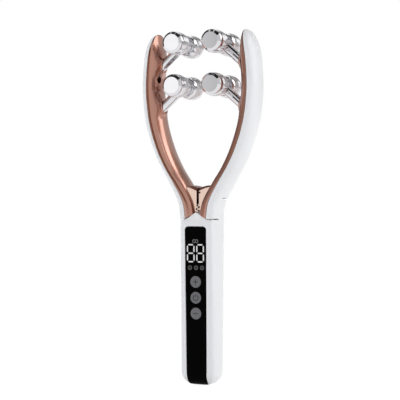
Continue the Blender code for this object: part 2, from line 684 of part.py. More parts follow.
# Buttons, which press on switches on the main board
SWITCH_FRONT = BOARD_FRONT - RUNNING_GAP - SWITCH_HEIGHT - SWITCH_NUB_HEIGHT
BUTTON_PLACES = {"minus": -1, "power": 0, "plus": 1}
for button_name, button_place in BUTTON_PLACES.items():
    button_height = POWER_BUTTON_HEIGHT + button_place * BUTTON_PITCH
    surface = -half_depth(button_height)
    button_radius = BUTTON_DIAMETER / 2
    flange_front = surface + HOUSING_WALL + RUNNING_GAP
    flange_back = flange_front + BUTTON_FLANGE_THICKNESS
    stem_end = SWITCH_FRONT - BUTTON_TRAVEL - RUNNING_GAP / 2
    button_outline = ((surface - BUTTON_PROUD, button_radius - BUTTON_PROUD), (surface, button_radius),
                      (flange_front, button_radius), (flange_front, button_radius + BUTTON_FLANGE_WIDTH),
                      (flange_back, button_radius + BUTTON_FLANGE_WIDTH), (flange_back, BUTTON_STEM_RADIUS),
                      (stem_end, BUTTON_STEM_RADIUS))
    button = turned(button_name + "_button", button_outline, (0, 0, button_height), (0, 1, 0),
                    ROLLER_SIDES, GREY)
    set_home(button, (0, surface, button_height))
    for holed_piece in (display_panel, front_housing):
        cut(holed_piece, rod("button_hole", (0, -HALF_DEPTH_TOP - OVERRUN, button_height),
                             (0, flange_back, button_height), button_radius + RUNNING_GAP, ROLLER_SIDES))
    switch_back = BOARD_FRONT - RUNNING_GAP
    switch_half = SWITCH_SIZE / 2
    switch = box(button_name + "_switch", (-switch_half, switch_back - SWITCH_HEIGHT, button_height - switch_half),
                 (switch_half, switch_back, button_height + switch_half), DARK_PLASTIC)
    join(switch, rod("nub", (0, SWITCH_FRONT, button_height),
                     (0, switch_back - SWITCH_HEIGHT / 2, button_height), SWITCH_NUB_RADIUS))
    set_home(switch, (0, switch_back, button_height))

# Main board, its screws and the posts that carry it
main_board = prism("main_circuit_board", rounded_outline(BOARD_WIDTH / 2, BOARD_FOOT, BOARD_TOP, BOARD_CORNER),
                   BOARD_FRONT, BOARD_BACK, BOARD_GREEN)
BOARD_SCREW_PLACES = {"board_screw_lower": BOARD_SCREW_FOOT, "board_screw_upper": BOARD_SCREW_TOP}
for screw_name, screw_height in BOARD_SCREW_PLACES.items():
    wall_place = -half_depth(screw_height) + PANEL_THICKNESS + RUNNING_GAP + PANEL_THICKNESS / 2
    join(front_housing, rod("post", (0, wall_place, screw_height), (0, BOARD_FRONT - RUNNING_GAP, screw_height),
                            POST_RADIUS))
    screw_tip = BOARD_FRONT - RUNNING_GAP - SCREW_GRIP
    cut(front_housing, rod("post_hole", (0, screw_tip - RUNNING_GAP, screw_height), (0, 0, screw_height),
                           SCREW_RADIUS + RUNNING_GAP))
    cut(main_board, rod("board_hole", (0, BOARD_FRONT - OVERRUN, screw_height),
                        (0, BOARD_BACK + OVERRUN, screw_height), SCREW_RADIUS + RUNNING_GAP))
    head_seat = BOARD_BACK + RUNNING_GAP
    screw = turned(screw_name, ((screw_tip, SCREW_RADIUS), (head_seat, SCREW_RADIUS),
                                (head_seat, SCREW_HEAD_RADIUS),
                                (head_seat + SCREW_HEAD_HEIGHT, SCREW_HEAD_RADIUS)),
                   (0, 0, screw_height), (0, 1, 0), SMALL_SIDES, STEEL)
    set_home(screw, (0, head_seat, screw_height))
set_home(main_board, (0, BOARD_FRONT, BOARD_FOOT))

# Battery behind the main board
BATTERY_FRONT = BOARD_BACK + RUNNING_GAP
battery = prism("battery", rounded_outline(BATTERY_WIDTH / 2, BATTERY_FOOT, BATTERY_TOP, BATTERY_CORNER),
                BATTERY_FRONT, BATTERY_FRONT + BATTERY_DEPTH, FOIL)
set_home(battery, (0, BATTERY_FRONT, BATTERY_FOOT))

# Charging socket in the back, with its own board
port_back_wall = half_depth(PORT_CENTRE)
PORT_MOUTH = port_back_wall - PORT_RECESS
PORT_REAR = PORT_MOUTH - PORT_DEPTH
port_half = PORT_WIDTH / 2
port_low = PORT_CENTRE - PORT_HEIGHT / 2
port_high = PORT_CENTRE + PORT_HEIGHT / 2
port_corner = PORT_HEIGHT / 2 - PORT_WALL / 2
port_outline = rounded_outline(port_half, port_low, port_high, port_corner, PORT_CORNER_STEPS)
socket_outline = rounded_outline(port_half - PORT_WALL, port_low + PORT_WALL, port_high - PORT_WALL,
                                 port_corner - PORT_WALL, PORT_CORNER_STEPS)
charging_port = prism("charging_port", port_outline, PORT_REAR, PORT_MOUTH, STEEL)
cut(charging_port, prism("socket", socket_outline, PORT_REAR + PORT_WALL * 2, PORT_MOUTH + OVERRUN))
tongue_half = PORT_TONGUE_THICKNESS / 2
join(charging_port, box("tongue", (-PORT_TONGUE_WIDTH / 2, PORT_REAR + PORT_WALL, PORT_CENTRE - tongue_half),
                        (PORT_TONGUE_WIDTH / 2, PORT_MOUTH - PORT_TONGUE_SETBACK, PORT_CENTRE + tongue_half)))
set_home(charging_port, (0, PORT_MOUTH, PORT_CENTRE))
opening_outline = rounded_outline(port_half + RUNNING_GAP, port_low - RUNNING_GAP, port_high + RUNNING_GAP,
                                  port_corner, PORT_CORNER_STEPS)
cut(rear_housing, prism("port_opening", opening_outline, PORT_REAR, port_back_wall + OVERRUN))
port_board_face = PORT_REAR - RUNNING_GAP
charging_board = prism("charging_board",
                       rounded_outline(PORT_BOARD_WIDTH / 2, PORT_CENTRE - PORT_BOARD_HEIGHT / 2,
                                       PORT_CENTRE + PORT_BOARD_HEIGHT / 2, BOARD_CORNER),
                       port_board_face - BOARD_THICKNESS, port_board_face, BOARD_GREEN)
set_home(charging_board, (0, port_board_face, PORT_CENTRE))

# Vibration motor and its eccentric weight
motor_axis = Vector((0, MOTOR_AXIS_Y, 0))
shaft_top = MOTOR_FOOT + MOTOR_SHAFT_REACH
motor = turned("vibration_motor", ((MOTOR_FOOT, MOTOR_RADIUS), (MOTOR_TOP, MOTOR_RADIUS)), motor_axis,
               (0, 0, 1), ROLLER_SIDES, STEEL)
cut(motor, rod("shaft_hole", motor_axis + Vector((0, 0, MOTOR_FOOT - OVERRUN)),
               motor_axis + Vector((0, 0, shaft_top + RUNNING_GAP)), MOTOR_SHAFT_RADIUS + RUNNING_GAP))
set_home(motor, motor_axis + Vector((0, 0, MOTOR_FOOT)))
WEIGHT_TOP = WEIGHT_FOOT + WEIGHT_HEIGHT
motor_weight = turned("motor_weight", ((WEIGHT_FOOT, WEIGHT_RADIUS), (WEIGHT_TOP, WEIGHT_RADIUS)),
                      motor_axis, (0, 0, 1), ROLLER_SIDES, BRASS)
cut(motor_weight, box("weight_side",
                      (-WEIGHT_RADIUS * 2, MOTOR_AXIS_Y - WEIGHT_RADIUS * 2, WEIGHT_FOOT - OVERRUN),
                      (WEIGHT_RADIUS * 2, MOTOR_AXIS_Y - MOTOR_SHAFT_RADIUS * 2, WEIGHT_TOP + OVERRUN)))
join(motor_weight, rod("shaft", motor_axis + Vector((0, 0, WEIGHT_FOOT + WEIGHT_HEIGHT / 2)),
                       motor_axis + Vector((0, 0, shaft_top)), MOTOR_SHAFT_RADIUS))
set_home(motor_weight, motor_axis + Vector((0, 0, WEIGHT_FOOT)))

# Hinge bracket: a pressed plate with two ears in front and two behind
BRACKET_TOP = BRACKET_FOOT + BRACKET_THICKNESS
FRONT_EAR = GEAR_HUB_FRONT - EAR_GAP - EAR_THICKNESS
REAR_EAR = GEAR_BACK - EAR_THICKNESS
bracket_front = FRONT_EAR
bracket_back = REAR_EAR + EAR_THICKNESS
hinge_bracket = box("hinge_bracket", (-BRACKET_HALF_WIDTH, bracket_front, BRACKET_FOOT),
                    (BRACKET_HALF_WIDTH, bracket_back, BRACKET_TOP), STEEL)
for side in (-1, 1):
    for ear_front in (FRONT_EAR, REAR_EAR):
        ear_outline = [(side * PIVOT_X - EAR_RADIUS, BRACKET_FOOT + BRACKET_THICKNESS / 2),
                       (side * PIVOT_X + EAR_RADIUS, BRACKET_FOOT + BRACKET_THICKNESS / 2)]
        for step in range(QUARTER_STEPS + 3):
            angle = math.pi * step / (QUARTER_STEPS + 2)
            ear_outline.append((side * PIVOT_X + EAR_RADIUS * math.cos(angle),
                                PIVOT_HEIGHT + EAR_RADIUS * math.sin(angle)))
        join(hinge_bracket, prism("ear", ear_outline, ear_front, ear_front + EAR_THICKNESS))
    cut(hinge_bracket, rod("pin_hole", (side * PIVOT_X, bracket_front - OVERRUN, PIVOT_HEIGHT),
                           (side * PIVOT_X, bracket_back + OVERRUN, PIVOT_HEIGHT), PIN_RADIUS + RUNNING_GAP / 2,
                           SMALL_SIDES))
for side, screw_name in ((-1, "bracket_screw_front"), (1, "bracket_screw_rear")):
    screw_y = side * BRACKET_SCREW_Y
    cut(hinge_bracket, rod("bracket_hole", (0, screw_y, BRACKET_FOOT - OVERRUN),
                           (0, screw_y, BRACKET_TOP + OVERRUN), SCREW_RADIUS + RUNNING_GAP))
    head_seat = BRACKET_TOP + RUNNING_GAP
    screw = turned(screw_name, ((SHELF_TOP - SCREW_GRIP, SCREW_RADIUS), (head_seat, SCREW_RADIUS),
                                (head_seat, SCREW_HEAD_RADIUS),
                                (head_seat + SCREW_HEAD_HEIGHT, SCREW_HEAD_RADIUS)),
                   (0, screw_y, 0), (0, 0, 1), SMALL_SIDES, STEEL)
    set_home(screw, (0, screw_y, head_seat))
set_home(hinge_bracket, (0, 0, BRACKET_FOOT))


# Gears of the arms

def involute_half_angle(radius, base_radius, pitch_radius, half_thickness):
    """Angle from a tooth's centre to its flank at a radius."""
    def spread(at_radius):
        if at_radius <= base_radius:
            return 0
        pressure = math.acos(base_radius / at_radius)
        return math.tan(pressure) - pressure
    return half_thickness / pitch_radius + spread(pitch_radius) - spread(radius)


def gear_outline(phase):
    """Outline of the right arm's toothed hub in XZ, teeth towards the centre plane."""
    pitch_radius = PIVOT_X
    base_radius = pitch_radius * math.cos(PRESSURE_ANGLE)
    root_radius = pitch_radius - DEDENDUM
    tip_radius = pitch_radius + ADDENDUM
    half_thickness = math.pi * pitch_radius / TEETH / 2 - TOOTH_BACKLASH / 2
    pitch_angle = 2 * math.pi / TEETH
    outline = []

    def place(radius, angle):
        return (PIVOT_X - radius * math.cos(angle), PIVOT_HEIGHT + radius * math.sin(angle))

    for tooth in TOOTH_PLACES:
        centre = phase + tooth * pitch_angle
        if centre < FIRST_TOOTH or centre > LAST_TOOTH:
            continue
        radii = [root_radius + (tip_radius - root_radius) * step / FLANK_STEPS
                 for step in range(FLANK_STEPS + 1)]
        for radius in radii:
            outline.append(place(radius, centre - involute_half_angle(radius, base_radius, pitch_radius,
                                                                      half_thickness)))
        for radius in reversed(radii):
            outline.append(place(radius, centre + involute_half_angle(radius, base_radius, pitch_radius,
                                                                      half_thickness)))
    return outline


def gear_body_outline(side, lowered):
    """The whole outline: teeth, slot edge, crotch, outer edge and the round hub; lowered drops its top."""
    teeth = gear_outline(PHASES[side])
    outline = list(teeth)
    outline.append((SLOT_HALF_WIDTH, max(z for x, z in teeth) + TOOTH_MODULE / 4))
    if side > 0:
        notch_x = SLOT_HALF_WIDTH + SLOT_NOTCH_WIDTH
        outline += [(SLOT_HALF_WIDTH, SLOT_NOTCH_FOOT), (notch_x, SLOT_NOTCH_FOOT),
                    (notch_x, SLOT_NOTCH_TOP), (SLOT_HALF_WIDTH, SLOT_NOTCH_TOP)]
    crotch = CROTCH_HEIGHT - lowered * CROTCH_CHAMFER_SHARE
    rise = GEAR_TOP - lowered - crotch
    outline.append((SLOT_HALF_WIDTH, crotch))
    top_x = arm_centre(GEAR_TOP) - ARM_INNER_WIDTH
    for x_share, z_share in GEAR_TOP_SHARES:
        outline.append((SLOT_HALF_WIDTH + (top_x - SLOT_HALF_WIDTH) * x_share, crotch + rise * z_share))
    outer_reach = ARM_INNER_WIDTH - ARM_WALL * 2
    outline.append((arm_centre(GEAR_TOP) - ARM_INNER_WIDTH + outer_reach, GEAR_TOP - lowered))
    for z_share in GEAR_EDGE_SHARES:
        height = PIVOT_HEIGHT + (GEAR_TOP - PIVOT_HEIGHT) * z_share
        outline.append((arm_centre(height) - ARM_INNER_WIDTH + outer_reach, height))
    for step in range(SMALL_SIDES // 2 + 1):
        angle = GEAR_ARC_START + (GEAR_ARC_END - GEAR_ARC_START) * step / (SMALL_SIDES // 2)
        outline.append((PIVOT_X - GEAR_HUB_RADIUS * math.cos(angle),
                        PIVOT_HEIGHT - GEAR_HUB_RADIUS * math.sin(angle)))
    return outline


def mirrored(outline, side):
    """The outline on the side that is asked for."""
    return [(side * x, z) for x, z in outline]


PHASES = {-1: LEFT_PHASE, 1: LEFT_PHASE - math.pi / TEETH}


def rotated(outline, centre_x, centre_z, angle):
    """The outline turned in XZ about a point."""
    turned_outline = []
    for x, z in outline:
        dx = x - centre_x
        dz = z - centre_z
        turned_outline.append((centre_x + dx * math.cos(angle) - dz * math.sin(angle),
                               centre_z + dx * math.sin(angle) + dz * math.cos(angle)))
    return turned_outline


def axle_place(level):
    """Height of an axle: 0 is the upper one and 1 the lower one."""
    return UPPER_AXLE_HEIGHT - AXLE_SPACING * level


def pad_height(level):
    """Height of the middle of a pad, where the stem enters the arm."""
    return axle_place(level) - STEM_PAD_PLACE * math.sin(STEM_SLANT)


def pad_rise(height):
    """How far the pads round the two stem roots stand out at a height."""
    rise = 0
    for level in (0, 1):
        apart = abs(height - pad_height(level)) / ARM_PAD_REACH
        if apart < 1:
            rise += ARM_PAD_HEIGHT * (1 - apart * apart) ** 2
    return rise


def arm_row(height, side, outward, inset, seam):
    """Half of an arm's outline at a height; outward is 1 for its outer half and -1 for its inner half."""
    centre = arm_centre(height)
    share = min(max((height - SHOULDER_HEIGHT) / (ARM_ROUND_FROM - SHOULDER_HEIGHT), 0), 1)
    roundness = ARM_ROUNDNESS_ROOT + (ARM_ROUNDNESS - ARM_ROUNDNESS_ROOT) * share
    tip_share = min(max((height - ARM_TIP + ARM_TIP_LENGTH) / ARM_TIP_LENGTH, 0), 1)
    shrink = (1 - tip_share ** TIP_ROUNDNESS) ** (1 / TIP_ROUNDNESS)
    width = ARM_OUTER_WIDTH
    rise = 0
    if outward < 0:
        inner_share = min(max((height - ARM_TIP + ARM_INNER_TIP_LENGTH) / ARM_INNER_TIP_LENGTH, 0), 1)
        kept_share = (1 - inner_share ** 2) ** INNER_TIP_POWER
        width = ARM_INNER_WIDTH * (1 - INNER_TIP_SHARE + INNER_TIP_SHARE * kept_share)
        rise = pad_rise(height)
    back = []
    for x, y in quarter_curve(width * shrink - inset, ARM_HALF_DEPTH * shrink - inset, roundness):
        across_pad = min(abs(y) / ARM_PAD_HALF_DEPTH, 1)
        out = x + rise * (1 - across_pad ** 2) ** 2
        back.append(Vector((side * (centre + outward * (seam + out)), y, height)))
    front = [Vector((point.x, -point.y, height)) for point in reversed(back)]
    return front + back[1:]


def arm_shell(name, side, outward, material):
    """Half of an arm, from its root to its tip."""
    tip_start = ARM_TIP - ARM_TIP_LENGTH
    if outward > 0:
        steps = ARM_OUTER_STEPS
        heights = [ARM_FOOT + (tip_start - ARM_FOOT) * step / steps for step in range(steps + 1)]
    else:
        pads_start = pad_height(1) - ARM_PAD_REACH
        heights = [ARM_FOOT + (pads_start - ARM_FOOT) * step / ARM_INNER_STEPS
                   for step in range(ARM_INNER_STEPS)]
        heights += [pads_start + (tip_start - pads_start) * step / ARM_PAD_STEPS
                    for step in range(ARM_PAD_STEPS + 1)]
    heights += [tip_start + ARM_TIP_LENGTH * share for share in ARM_TIP_SHARES]
    outer = [arm_row(height, side, outward, 0, ARM_SEAM) for height in heights]
    inner = [arm_row(height, side, outward, ARM_WALL, ARM_SEAM)
             for height in heights if height < ARM_CAVITY_TOP]
    return half_shell(name, outer, inner, material)


def line_height(line, x):
    """Height at x of a line of points that runs from left to right."""
    index = 0
    while index < len(line) - 2 and x > line[index + 1][0]:
        index += 1
    (x0, z0), (x1, z1) = line[index], line[index + 1]
    return z0 + (z1 - z0) * (x - x0) / (x1 - x0)


def upper_envelope(first, second):
    """The higher of two lines at every x, as one line of points."""
    places = sorted({x for x, z in first + second})
    envelope = []
    for x, following in zip(places, places[1:] + [places[-1]]):
        above = line_height(first, x) - line_height(second, x)
        above_after = line_height(first, following) - line_height(second, following)
        envelope.append((x, max(line_height(first, x), line_height(second, x))))
        if above * above_after < 0:
            cross = x + (following - x) * above / (above - above_after)
            envelope.append((cross, line_height(first, cross)))
    return envelope


def swept_keepout(name, side, line, near_y, far_y):
    """Space under a casing edge in the arm's own frame, wherever the arm is in its swing."""
    low = ARM_FOOT - 3 * OVERRUN
    swung = rotated(line, PIVOT_X, PIVOT_HEIGHT, ARM_OPENING)
    envelope = upper_envelope(line, swung)
    outline = [(envelope[-1][0], low), (envelope[0][0], low)] + envelope
    return prism(name, mirrored(outline, side), near_y, far_y)


def front_keepout(side, gap):
    """Space that the pointed edge of the front housing takes in the arm's own frame."""
    return swept_keepout("front_keepout", side, edge_line(gap), -HALF_DEPTH_TOP - OVERRUN * 3,
                         HALF_DEPTH_TOP + OVERRUN * 3)


def rear_keepout(side, near_y, gap):
    """Space that the rear housing takes behind near_y, in the arm's own frame."""
    line = [(-HANDLE_WIDTH, REAR_TOP + gap), (HANDLE_WIDTH, REAR_TOP + gap)]
    return swept_keepout("rear_keepout", side, line, near_y, HALF_DEPTH_TOP + OVERRUN * 2)


def slanted(side, level, along):
    """A point on a stem's axis, measured from its hub towards the arm."""
    return Vector((side * (ROLLER_X + along * math.cos(STEM_SLANT)), 0,
                   axle_place(level) - along * math.sin(STEM_SLANT)))


def stem_web_outline(side, level):
    """A web inside the arm between a stem's shoulder and its nut, from the cover's wall inwards, in XZ."""
    outline = []
    for reach in (STEM_LENGTH - RUNNING_GAP, STEM_LENGTH + NUT_SETBACK):
        lower = -STEM_WEB_HALF_WIDTH
        while wall_distance(slanted(1, level, reach) + SLANT_ACROSS * lower) < STEM_WEB_INSET:
            lower += STEM_WEB_HALF_WIDTH / STEM_WEB_STEPS
        ends = (lower, STEM_WEB_HALF_WIDTH) if reach < STEM_LENGTH else (STEM_WEB_HALF_WIDTH, lower)
        for across in ends:
            corner = slanted(1, level, reach) + SLANT_ACROSS * across
            outline.append((side * corner.x, corner.z))
    return outline


def wall_distance(point):
    """How far a point of the right arm lies behind the arm's inner face."""
    face = arm_centre(point.z) - ARM_INNER_WIDTH - pad_rise(point.z)
    return point.x - face


SLANT_ACROSS = Vector((math.sin(STEM_SLANT), 0, math.cos(STEM_SLANT)))
LEVEL_NAMES = ("upper", "lower")
SIDE_NAMES = {-1: "left", 1: "right"}

for side in (-1, 1):
    side_name = SIDE_NAMES[side]
    pivot = Vector((side * PIVOT_X, 0, PIVOT_HEIGHT))
    arm_pivot = bpy.data.objects.new(side_name + "_arm_pivot", None)
    arm_pivot.location = pivot
    bpy.context.scene.collection.objects.link(arm_pivot)

    # Covers of the arm, cut to clear the casing through the whole opening
    outer_cover = arm_shell(side_name + "_outer_cover", side, 1, WHITE)
    inner_cover = arm_shell(side_name + "_inner_cover", side, -1, ROSE_GOLD)
    for cover in (outer_cover, inner_cover):
        cut(cover, front_keepout(side, RUNNING_GAP))
        cut(cover, rear_keepout(side, PARTING_Y - RUNNING_GAP, RUNNING_GAP))

    # Toothed hub plate that joins the two covers at the root
    body = mirrored(gear_body_outline(side, 0), side)
    face = mirrored(gear_body_outline(side, GEAR_CHAMFER_HEIGHT), side)
    hinge_gear = layered(side_name + "_hinge_gear",
                         ((face, GEAR_FRONT), (body, GEAR_FRONT + GEAR_CHAMFER_DEPTH), (body, GEAR_BACK)),
                         ROSE_GOLD_LIGHT)
    cut(hinge_gear, rear_keepout(side, GEAR_HUB_BACK, 2 * RUNNING_GAP))
    ear_pocket = EAR_RADIUS + EAR_GAP
    pocket_outline = [(side * PIVOT_X - ear_pocket - EAR_GAP, PIVOT_HEIGHT - 2 * PIVOT_X),
                      (side * PIVOT_X + ear_pocket + EAR_GAP, PIVOT_HEIGHT - 2 * PIVOT_X)]
    for step in range(QUARTER_STEPS + 3):
        angle = math.pi * step / (QUARTER_STEPS + 2)
        pocket_outline.append((side * PIVOT_X + ear_pocket * math.cos(angle),
                               PIVOT_HEIGHT + ear_pocket * math.sin(angle)))
    cut(hinge_gear, prism("ear_pocket", pocket_outline, GEAR_FRONT - OVERRUN, GEAR_HUB_FRONT))
    cut(hinge_gear, rod("pin_bore", pivot + Vector((0, GEAR_FRONT - OVERRUN, 0)),
                        pivot + Vector((0, GEAR_BACK, 0)), PIN_RADIUS + RUNNING_GAP, SMALL_SIDES))
    crotch_index = body.index((side * SLOT_HALF_WIDTH, CROTCH_HEIGHT))
    room_corners = [(0, PIVOT_HEIGHT - GEAR_HUB_RADIUS), (0, CROTCH_HEIGHT)] + body[crotch_index + 1:]
    room_middle = sum((Vector(corner) for corner in room_corners), Vector((0, 0))) / len(room_corners)
    gear_room = []
    for corner in room_corners:
        away = Vector(corner) - room_middle
        gear_room.append(Vector(corner) + away.normalized() * GEAR_ROOM_GAP)
    room_front = GEAR_FRONT - RUNNING_GAP
    cut(inner_cover, prism("gear_room", gear_room, room_front, GEAR_BACK + RUNNING_GAP))

    pin = rod(side_name + "_pivot_pin", pivot + Vector((0, FRONT_EAR - RUNNING_GAP, 0)),
              pivot + Vector((0, REAR_EAR + EAR_THICKNESS + RUNNING_GAP, 0)), PIN_RADIUS, SMALL_SIDES, STEEL)
    set_home(pin, pivot)

    # Torsion spring round the pin, one leg down to the bracket and one along the hub plate
    spring_points = []
    spring_start = GEAR_HUB_BACK + RUNNING_GAP + SPRING_WIRE
    for step in range(SPRING_TURN_STEPS * SPRING_TURNS + 1):
        angle = 2 * math.pi * step / SPRING_TURN_STEPS
        spring_points.append((side * (PIVOT_X + SPRING_RADIUS * math.cos(angle)),
                              spring_start + SPRING_PITCH * step / SPRING_TURN_STEPS,
                              PIVOT_HEIGHT + SPRING_RADIUS * math.sin(angle)))
    spring_top = PIVOT_HEIGHT + SPRING_LEG
    spring_points.insert(0, (side * (PIVOT_X + SPRING_RADIUS), spring_start, PIVOT_HEIGHT - SPRING_LEG))
    spring_points.append((side * (PIVOT_X + SPRING_RADIUS), spring_points[-1][1], spring_top))
    curve = bpy.data.curves.new(side_name + "_torsion_spring", 'CURVE')
    curve.dimensions = '3D'
    curve.bevel_depth = SPRING_WIRE
    curve.bevel_resolution = 1
    curve.use_fill_caps = True
    spline = curve.splines.new('POLY')
    spline.points.add(len(spring_points) - 1)
    for spline_point, place in zip(spline.points, spring_points):
        spline_point.co = (place[0], place[1], place[2], 1)
    curve.materials.append(STEEL)
    spring = bpy.data.objects.new(side_name + "_torsion_spring", curve)
    bpy.context.scene.collection.objects.link(spring)

    # Stems, nuts and axles
    for level, level_name in enumerate(LEVEL_NAMES):
        label = side_name + "_" + level_name
        stem_axis = slanted(side, level, 1) - slanted(side, level, 0)
        hub_centre = slanted(side, level, 0)
        stem_outline = ((0, STEM_RADIUS), (STEM_LENGTH, STEM_RADIUS), (STEM_LENGTH, STEM_TAIL_RADIUS),
                        (STEM_LENGTH + STEM_TAIL_LENGTH, STEM_TAIL_RADIUS))
        stem = turned(label + "_stem", stem_outline, hub_centre, stem_axis, ROLLER_SIDES, CHROME)
        hub_outline = ((-STEM_HUB_HALF_LENGTH, STEM_HUB_RADIUS - STEM_BEVEL),
                       (-STEM_HUB_HALF_LENGTH + STEM_BEVEL, STEM_HUB_RADIUS),
                       (STEM_HUB_HALF_LENGTH - STEM_BEVEL, STEM_HUB_RADIUS),
                       (STEM_HUB_HALF_LENGTH, STEM_HUB_RADIUS - STEM_BEVEL))
        join(stem, turned("hub", hub_outline, hub_centre, (0, 1, 0), SMALL_SIDES))
        cut(stem, rod("axle_bore", hub_centre - Vector((0, AXLE_HALF_LENGTH, 0)),
                      hub_centre + Vector((0, AXLE_HALF_LENGTH, 0)), AXLE_RADIUS + RUNNING_GAP))
        set_home(stem, pivot, arm_pivot)
        join(inner_cover, prism("stem_web", stem_web_outline(side, level), -STEM_WEB_HALF_WIDTH,
                                STEM_WEB_HALF_WIDTH))
        nut_start = STEM_LENGTH + NUT_SETBACK
        hole_outline = ((STEM_HOLE_START, STEM_RADIUS + RUNNING_GAP),
                        (STEM_LENGTH + RUNNING_GAP, STEM_RADIUS + RUNNING_GAP),
                        (STEM_LENGTH + RUNNING_GAP, STEM_TAIL_RADIUS + RUNNING_GAP),
                        (nut_start - RUNNING_GAP, STEM_TAIL_RADIUS + RUNNING_GAP),
                        (nut_start - RUNNING_GAP, NUT_RADIUS + RUNNING_GAP),
                        (STEM_LENGTH + STEM_TAIL_LENGTH + RUNNING_GAP, NUT_RADIUS + RUNNING_GAP))
        cut(inner_cover, turned("stem_hole", hole_outline, hub_centre, stem_axis, ROLLER_SIDES))
        nut_end = slanted(side, level, nut_start + NUT_THICKNESS)
        nut = rod(label + "_stem_nut", slanted(side, level, nut_start), nut_end, NUT_RADIUS, NUT_SIDES, STEEL)
        cut(nut, rod("nut_bore", slanted(side, level, STEM_LENGTH), slanted(side, level, STEM_LENGTH * 2),
                     STEM_TAIL_RADIUS + RUNNING_GAP))
        set_home(nut, pivot, arm_pivot)
        axle = rod(label + "_axle", hub_centre - Vector((0, AXLE_HALF_LENGTH, 0)),
                   hub_centre + Vector((0, AXLE_HALF_LENGTH, 0)), AXLE_RADIUS, SMALL_SIDES, STEEL)
        set_home(axle, pivot, arm_pivot)

        # Two rollers on each axle, one in front and one behind
        roller_length = ROLLER_FACE_Y - ROLLER_INNER_Y
        for facing, facing_name in ((-1, "front"), (1, "rear")):
            roller_outline = [(ROLLER_BORE_END, 0), (ROLLER_BORE_END, AXLE_RADIUS + RUNNING_GAP),
                              (ROLLER_INNER_Y, AXLE_RADIUS + RUNNING_GAP)]
            for along_share, radius_share in ROLLER_OUTLINE_SHARES:
                swell = (ROLLER_RADIUS - ROLLER_NECK_RADIUS) * radius_share
                roller_outline.append((ROLLER_INNER_Y + roller_length * along_share,
                                       ROLLER_NECK_RADIUS + swell))
            roller_outline += [(ROLLER_FACE_Y, ROLLER_FACE_RADIUS), (ROLLER_FACE_Y, 0)]
            roller = turned(label + "_" + facing_name + "_roller", roller_outline, hub_centre, (0, facing, 0),
                            ROLLER_SIDES, CHROME)
            set_home(roller, hub_centre, arm_pivot)

    # Screw that holds the two covers together, from the hole in the inner face
    centre = arm_centre(COVER_SCREW_HEIGHT)
    face_x = centre - ARM_INNER_WIDTH * SCREW_FACE_SHARE
    screw_line = Vector((0, COVER_SCREW_Y, COVER_SCREW_HEIGHT))

    def across(x):
        """A point on the screw's line at a distance from the centre plane."""
        return screw_line + Vector((side * x, 0, 0))

    head_at = face_x + COVER_SCREW_SINK
    join(inner_cover, rod("inner_boss", across(face_x + COVER_BOSS_INSET), across(centre - RUNNING_GAP),
                          COVER_BOSS_RADIUS, ROLLER_SIDES))
    cut(inner_cover, rod("head_hole", across(face_x - ARM_INNER_WIDTH),
                         across(head_at + COVER_SCREW_HEAD_HEIGHT + RUNNING_GAP), COVER_SCREW_HOLE_RADIUS))
    cut(inner_cover, rod("shank_hole", across(face_x), across(centre + ARM_WALL), SCREW_RADIUS + RUNNING_GAP))
    join(outer_cover, rod("outer_boss", across(centre + RUNNING_GAP),
                          across(centre + ARM_OUTER_WIDTH - ARM_WALL), COVER_BOSS_RADIUS, ROLLER_SIDES))
    cut(outer_cover, rod("thread_hole", across(centre - ARM_WALL),
                         across(head_at + COVER_SCREW_LENGTH + RUNNING_GAP), SCREW_RADIUS + RUNNING_GAP))
    cover_screw = turned(side_name + "_cover_screw",
                         ((0, COVER_SCREW_HEAD_RADIUS), (COVER_SCREW_HEAD_HEIGHT, COVER_SCREW_HEAD_RADIUS),
                          (COVER_SCREW_HEAD_HEIGHT, SCREW_RADIUS), (COVER_SCREW_LENGTH, SCREW_RADIUS)),
                         across(head_at), (side, 0, 0), SMALL_SIDES, STEEL)
    set_home(cover_screw, pivot, arm_pivot)

    # Brass strip between the ends of the two stems, inside the arm
    stem_end = STEM_LENGTH + STEM_TAIL_LENGTH + RUNNING_GAP
    strip_line = []
    for level in (1, 0):
        end_point = slanted(1, level, stem_end)
        strip_line += [end_point - SLANT_ACROSS * STRIP_TAB / 2, end_point + SLANT_ACROSS * STRIP_TAB]
    strip_outline = [(side * point.x, point.z) for point in strip_line]
    strip_outline += [(side * (point.x + STRIP_THICKNESS), point.z) for point in reversed(strip_line)]
    contact_strip = prism(side_name + "_contact_strip", strip_outline, STRIP_BACK - STRIP_WIDTH, STRIP_BACK,
                          BRASS)
    set_home(contact_strip, pivot, arm_pivot)

    for arm_piece in (outer_cover, inner_cover, hinge_gear):
        set_home(arm_piece, pivot, arm_pivot)

for casing_piece in (front_housing, rear_housing, display_panel):
    set_home(casing_piece, (0, 0, 0))
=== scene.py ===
import json
import math

